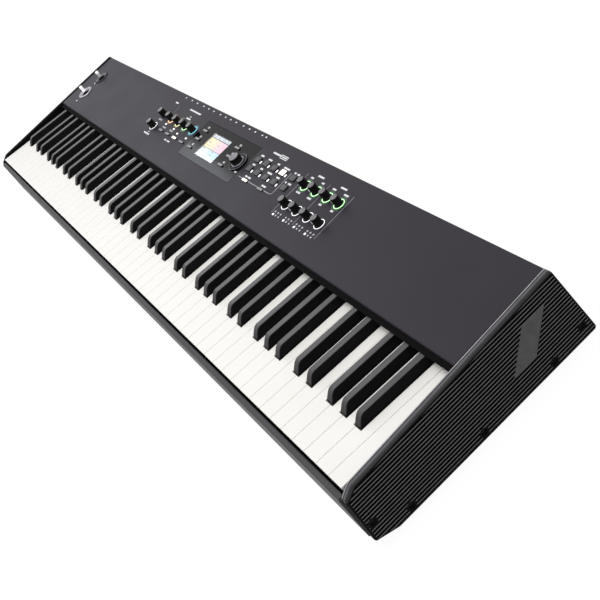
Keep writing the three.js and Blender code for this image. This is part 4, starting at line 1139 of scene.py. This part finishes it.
# Centre, row and length of each dash
LEGENDS = [
    (-246.5, 100, 10.6), (-173.1, 100.1, 41), (-173.3, 85.2, 15), (-245, 32.1, 21), (-177.3, 38.5, 6.8),
    (-165.9, 38.5, 9.2), (221.7, 99.8, 14), (276.3, 99.8, 14), (102.2, 100.1, 20),
    (77.8, 88.6, 8.5), (100.8, 88.6, 10), (124.6, 88.6, 6.5), (147.7, 88.6, 15), (171, 88.6, 4.5),
    (179.5, 88.6, 5.5), (77.6, 72, 7.5), (100.8, 72, 6.5), (124.3, 72, 12), (147.7, 72, 8),
    (169.7, 72, 3.5), (179.5, 72, 7.5), (85.7, 53, 7), (94.5, 53, 7.5), (137, 53, 11.5),
    (208, 93.5, 6.7), (234.8, 93.5, 5.7), (262.4, 93.5, 8.1), (290.1, 93.5, 9.9),
    (208, 68.3, 9.5), (235.7, 68.3, 9), (263.1, 68.3, 6), (291, 68.3, 6),
    (-172, 89.6, 3), (-243, 35.9, 3), (-570, 15.4, 3.6), (-571, 60.4, 3.6),
]
FAINT_LEGENDS = [(-245.3, 62.6, 13), (-213, 54.6, 12), (-186, 55.2, 12)]
JACK_MARKS = [-235.9, -212.5, -191.2, -166.6, -147.8, -129.1, -104.9, -86.3, -68.5, -49.7, -25.3, -5.6,
              12.9, 34.9, 46.8]
JACK_ROW = 114.4
JACK_DASH = (3.6, 2.2)
DIAL_DASH = (55.3, 50.4, 5, 2.2)
WINDOW_DASH = (5, 1.1)
WINDOW_SHIFT = 0.9
WINDOW_MARKS = [(-99.9, 88.2), (-98.1, 70.1), (-98.3, 54.6), (11.7, 86.9), (12, 71), (12, 54)]
HEADING_BOX = (113, 131.2, 97.4, 102.4)
HEADING_FRAME = 1.2
HEADING_DASH = (15.2, 1.8)
ZONE_LINE = [(-230.6, 97.3), (-226.9, 81.8)]
ZONE_LINE_WIDTH = 0.6
# Points of the printed lines, some of them with rounded corners
BRACKET = [
    [(70.5, 48.2), (84, 48)], [(99.5, 48), (129, 48)],
    [(144.8, 48), *arc(160.9, 52, 4, -90, 0, 5), (163.9, 85.6)],
]
SEPARATORS = [[(195.9, 29.8), (194, 96.2)], [(250.4, 29.8), (248.9, 96.2)], [(305.3, 29.8), (304.2, 96.2)]]
GROUP_STROKES = [
    [(216.3, 78.2), (226.3, 76.2)], [(271, 79), (281, 77.2)],
    [(219.6, 44.6), (226, 43.4)], [(275, 44.6), (281, 43.4)],
]


def build_prints():
    shell = Shell()
    for legend in LEGENDS:
        dash(shell, *legend)
    for x in JACK_MARKS:
        dash(shell, x, JACK_ROW, *JACK_DASH)
    for x, y in WINDOW_MARKS:
        for shift in (-WINDOW_SHIFT, WINDOW_SHIFT):
            dash(shell, x, y + shift, *WINDOW_DASH)
    dash(shell, *DIAL_DASH)
    frame_line = corners_of(HEADING_BOX)
    stroke(shell, frame_line + frame_line[:1], HEADING_FRAME)
    left, right, front, rear = HEADING_BOX
    dash(shell, (left + right) / 2, (front + rear) / 2, *HEADING_DASH)
    shell.paint = 1
    for legend in FAINT_LEGENDS:
        dash(shell, *legend)
    piece("printed_marks", shell, panel_space(), [INK, FAINT_INK])
    lines = Shell()
    for points in BRACKET + GROUP_STROKES:
        stroke(lines, points)
    lines.paint = 1
    stroke(lines, ZONE_LINE, ZONE_LINE_WIDTH)
    for points in SEPARATORS:
        stroke(lines, points)
    piece("printed_lines", lines, panel_space(), [FAINT_INK, DIM_INK])


# Levels of a lamp lens, and how far its outline is drawn in there
LENS_LEVELS = ((-0.5, 0), (0.3, 0), (0.5, 0.2))
LENS_CORNER = 0.5
SOUND_LENS = (1.2, 2.1)
ZONE_LENS = (2.1, 1.3)


def bar(shell, x, y, half, deep):
    """Small raised lamp lens."""
    rings = []
    for level, edge in LENS_LEVELS:
        a, b = half - edge, deep - edge
        points = rounded(corners_of((-a, a, -b, b)), [LENS_CORNER] * 4, 3)
        rings.append([(x + c, y + d, level) for c, d in points])
    shell.rings(rings)


SOUND_LAMPS = [(x, y) for y in (62.5, 79.2) for x in (86.6, 109.6, 133.9, 157.4)]
ZONE_LAMPS = [(-216.9, 60.6), (-183.3, 59.7), (-162.5, 56.1), (-129, 56.4)]
LAMP_FIELD = (202.1, 28.6)
LAMP_STEP = (7.1, 4.5)
BRIGHT_RADIUS = 1.7
DIM_RADIUS = 1.4
# Share of the radius, and level
DOT_RING = [(0, -0.5), (1, -0.5), (1, 0.2), (0.7, 0.5), (0, 0.6)]


def build_lamps():
    bars = Shell()
    for places, lens in ((SOUND_LAMPS, SOUND_LENS), (ZONE_LAMPS, ZONE_LENS)):
        for x, y in places:
            bar(bars, x, y, *lens)
    piece("sound_lamps", bars, panel_space(), [WHITE_GLOW])
    dots = Shell()
    for column in range(4):
        for i in range(3):
            for j in range(2):
                bright = i == 0 and j == 0
                dots.paint = 0 if bright else 1
                radius = BRIGHT_RADIUS if bright else DIM_RADIUS
                x = LAMP_FIELD[0] + column * KNOB_PITCH + i * LAMP_STEP[0]
                y = LAMP_FIELD[1] + j * LAMP_STEP[1]
                dots.turned([(radius * share, level) for share, level in DOT_RING], x, y, steps=16)
    piece("effect_lamps", dots, panel_space(), [WHITE_GLOW, LAMP_OFF])


build_prints()
build_lamps()


# Back, underside and inside
REAR_FACE = 266.1
SOCKET_HEIGHT = 30
SOCKET_FLOOR = 244.4
DIN_PLACES = (-236, -213.5, -191)
JACK_PLACES = (-166.5, -147.8, -129.1, -105, -86.3, -67.6, -49.1, -25.3, -5.7)
HOST_PLACE = 14.5
SUPPLY_PLACE = 33.6
# Half the length, and the lower and upper edge of the mark over a socket
SOCKET_MARK = (3.2, 49, 50.4)
# Radius and distance from a face of the rings of turned shapes
JACK_NUT = [(5.65, 0.05), (6.6, 0.05), (6.6, 1.7), (6.2, 2.1), (5.65, 2.1)]
DIN_INSERT = [(0, -0.2), (6.4, -0.2), (6.4, 0.5), (6, 0.7), (0, 0.7)]
DIN_PIN = [(0, 0.6), (0.7, 0.6), (0.7, 0.8), (0, 0.8)]
PIN_CIRCLE = 4
JACK_CONTACT = 3
SUPPLY_PIN = 1
# Share of the radius, and distance from the socket's floor
CONTACT_RING = [(0, -0.2), (1, -0.2), (1, 0.4), (0.8, 0.7), (0, 0.7)]
PAN_HEAD = [(0, -0.3), (3, -0.3), (3, 0.7), (2.6, 1.2), (1.2, 1.5), (1, 0.7), (0, 0.6)]
FOOT_LINE = 533
FOOT_BACKS = (44, 226)
FOOT_WELL = -2.6
FOOT_BODY = [
    (0, -SEAT_GAP), (14, -SEAT_GAP), (14, -1.1), (13.6, -1.7), (12.2, 0.6 - FOOT_HEIGHT),
    (11.7, -FOOT_HEIGHT), (5.4, -FOOT_HEIGHT), (5, 0.4 - FOOT_HEIGHT), (4.8, FOOT_WELL), (0, FOOT_WELL),
]
PLATE_SCREWS = [(x, y) for x in (-585, -390, -195, 0, 195, 390, 585) for y in (30, 140, 256)]
WALL_SCREWS = [(x, z) for x in (-590, -400, -262, 78, 240, 400, 590) for z in (12, 78)]


def screw_head(shell, x, y, z, put, way):
    """Pan head with a recess that stands out of a face along an axis, to its plus or minus side."""
    shell.turned([(radius, way * height) for radius, height in PAN_HEAD], x, y, z, put, steps=24)


def on_wall(shell, profile, face, x, z=SOCKET_HEIGHT, steps=24, closed=False):
    """Lathe on an axis along Y, its distances taken back from a face."""
    shell.turned([(radius, face + out) for radius, out in profile], x, 0, z, along_y, steps, closed)


def build_back():
    """Nuts, inserts, screws and plain marks of the back wall."""
    nuts = Shell()
    for x in JACK_PLACES:
        on_wall(nuts, JACK_NUT, REAR_FACE, x, closed=True)
    piece("jack_nuts", nuts, case_space(), [SATIN])
    inserts = Shell()
    for x in DIN_PLACES:
        on_wall(inserts, DIN_INSERT, SOCKET_FLOOR, x, steps=40)
    inserts.paint = 1
    for x in DIN_PLACES:
        for a, b in arc(0, 0, PIN_CIRCLE, 180, 360, 4):
            on_wall(inserts, DIN_PIN, SOCKET_FLOOR, x + a, SOCKET_HEIGHT + b, steps=12)
    for x, radius in [(x, JACK_CONTACT) for x in JACK_PLACES] + [(SUPPLY_PLACE, SUPPLY_PIN)]:
        contact = [(radius * share, out) for share, out in CONTACT_RING]
        on_wall(inserts, contact, SOCKET_FLOOR, x)
    piece("socket_inserts", inserts, case_space(), [DARK, SATIN])
    heads = Shell()
    for x, z in WALL_SCREWS:
        screw_head(heads, x, REAR_FACE, z, along_y, 1)
    piece("wall_screws", heads, case_space(), [BLACK_STEEL])
    marks = Shell()
    half, low, high = SOCKET_MARK
    for x in (*DIN_PLACES, *JACK_PLACES, HOST_PLACE, SUPPLY_PLACE):
        marks.block(x - half, x + half, REAR_FACE + PRINT_ROOT, REAR_FACE + DASH_TOP, low, high)
    piece("socket_marks", marks, case_space(), [INK])


def build_underside():
    """Screws of the bottom plate, and the four feet with a screw in each."""
    heads = Shell()
    for x, y in PLATE_SCREWS:
        screw_head(heads, x, y, 0, upwards, -1)
    piece("plate_screws", heads, case_space(), [STEEL])
    for end, back in zip(("front", "rear"), FOOT_BACKS):
        for side, x in (("left", -FOOT_LINE), ("right", FOOT_LINE)):
            foot = Shell()
            foot.turned(FOOT_BODY, x, back, steps=48)
            foot.paint = 1
            screw_head(foot, x, back, FOOT_WELL, upwards, -1)
            node = f"foot_{end}_{side}"
            piece(f"{node}_turned", foot, case_space(), [RUBBER, STEEL], stands_for=[node])


CAD_FINISHES = {
    "rear_panel": PAINT, "jack_board": SOCKET, "bottom_plate": BLACK_STEEL, "key_frame": STEEL,
    "key_rest_felt": FELT, "key_contact_board": BOARD, "control_board": BOARD, "main_board": BOARD,
    "pitch_stick_yoke": STEEL, "mod_stick_yoke": STEEL, "power_switch": DARK,
}

build_back()
build_underside()
for node, finish in CAD_FINISHES.items():
    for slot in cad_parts[node].material_slots:
        slot.material = finish


# Camera, light and floor
scene.view_settings.view_transform = "Standard"

# Camera solved from the photograph's view: its place, its axes, its lens and its shift
CAMERA_PLACE = (1.33278553, -0.18053209, 0.7501575)
CAMERA_RIGHT = Vector((0.47704522, 0.72399343, -0.49825834))
CAMERA_DOWN = Vector((0.27396145, -0.66117503, -0.69842158))
CAMERA_AHEAD = Vector((-0.83508861, 0.19667509, -0.51375668))
SENSOR_WIDTH = 36
LENS = 65.712
LENS_SHIFT = (-0.02532, -0.1481)
WORLD_LEVEL = 0.45
FLOOR_HALF = 20
FLOOR_SHEET = 0.05
FLOOR_TONE = 0.5
FLOOR_GLOW = 1.12
SHADOW_SHARE = 0.15


def build_camera():
    data = bpy.data.cameras.new("photo_camera")
    data.sensor_fit = "HORIZONTAL"
    data.sensor_width = SENSOR_WIDTH
    data.lens = LENS
    data.shift_x, data.shift_y = LENS_SHIFT
    data.clip_start = 0.05
    data.clip_end = 50
    camera = added("photo_camera", data)
    turn = Matrix((CAMERA_RIGHT, -CAMERA_DOWN, -CAMERA_AHEAD)).transposed().to_4x4()
    camera.matrix_world = Matrix.Translation(CAMERA_PLACE) @ turn
    scene.camera = camera


def direct_rays(tree):
    """1 for what shows straight, through glass or in gloss, and 0 for the light on surfaces."""
    rays = tree.nodes.new("ShaderNodeLightPath").outputs
    seen = rays["Is Camera Ray"]
    for kind in ("Is Transmission Ray", "Is Glossy Ray"):
        seen = tree.add("Math", {0: seen, 1: rays[kind]}, operation="MAXIMUM")
    return seen


def build_world():
    scene.world = bpy.data.worlds.new("studio")
    tree = Tree(scene.world)
    tree.nodes.clear()
    level = tree.add("MapRange", {"Value": direct_rays(tree), "To Min": WORLD_LEVEL})
    background = tree.add("Background", {"Color": (1, 1, 1, 1), "Strength": level})
    tree.add("OutputWorld", {"Surface": background})


def build_floor():
    """White floor that keeps a soft shadow of the object."""
    shell = Shell()
    shell.block(-FLOOR_HALF, FLOOR_HALF, -FLOOR_HALF, FLOOR_HALF, -FLOOR_SHEET, 0)
    material = bpy.data.materials.new("white_floor")
    tree = Tree(material)
    tree.nodes.clear()
    diffuse = tree.add("BsdfDiffuse", {"Color": (FLOOR_TONE, FLOOR_TONE, FLOOR_TONE, 1)})
    white = tree.add("Emission", {"Strength": FLOOR_GLOW})
    share = tree.add("MapRange", {"Value": direct_rays(tree), "To Max": 1 - SHADOW_SHARE})
    mix = tree.add("MixShader", {"Fac": share, 1: diffuse, 2: white})
    tree.add("OutputMaterial", {"Surface": mix})
    floor = shell.made("floor")
    floor.data.materials.append(material)


def build_lamp(name, place, target, size, power, color=(1, 1, 1)):
    """Rectangular soft light that looks at a target."""
    data = bpy.data.lights.new(name, "AREA")
    data.shape = "RECTANGLE"
    data.size, data.size_y = size
    data.energy = power
    data.color = color
    aim = (Vector(target) - Vector(place)).to_track_quat("-Z", "Y").to_matrix().to_4x4()
    added(name, data).matrix_world = Matrix.Translation(place) @ aim


build_camera()
build_world()
build_floor()
build_lamp("top_light", place=(0.3, -0.3, 2.6), target=(0, 0, 0), size=(1.8, 1.8), power=38)
# Its reflection is the haze on the front strip of the window
build_lamp("bass_light", place=(-2.67, -0.07, 1.86), target=(0, 0.05, 0.1), size=(0.98, 1.06),
           power=7.5, color=(0.86, 0.92, 1))
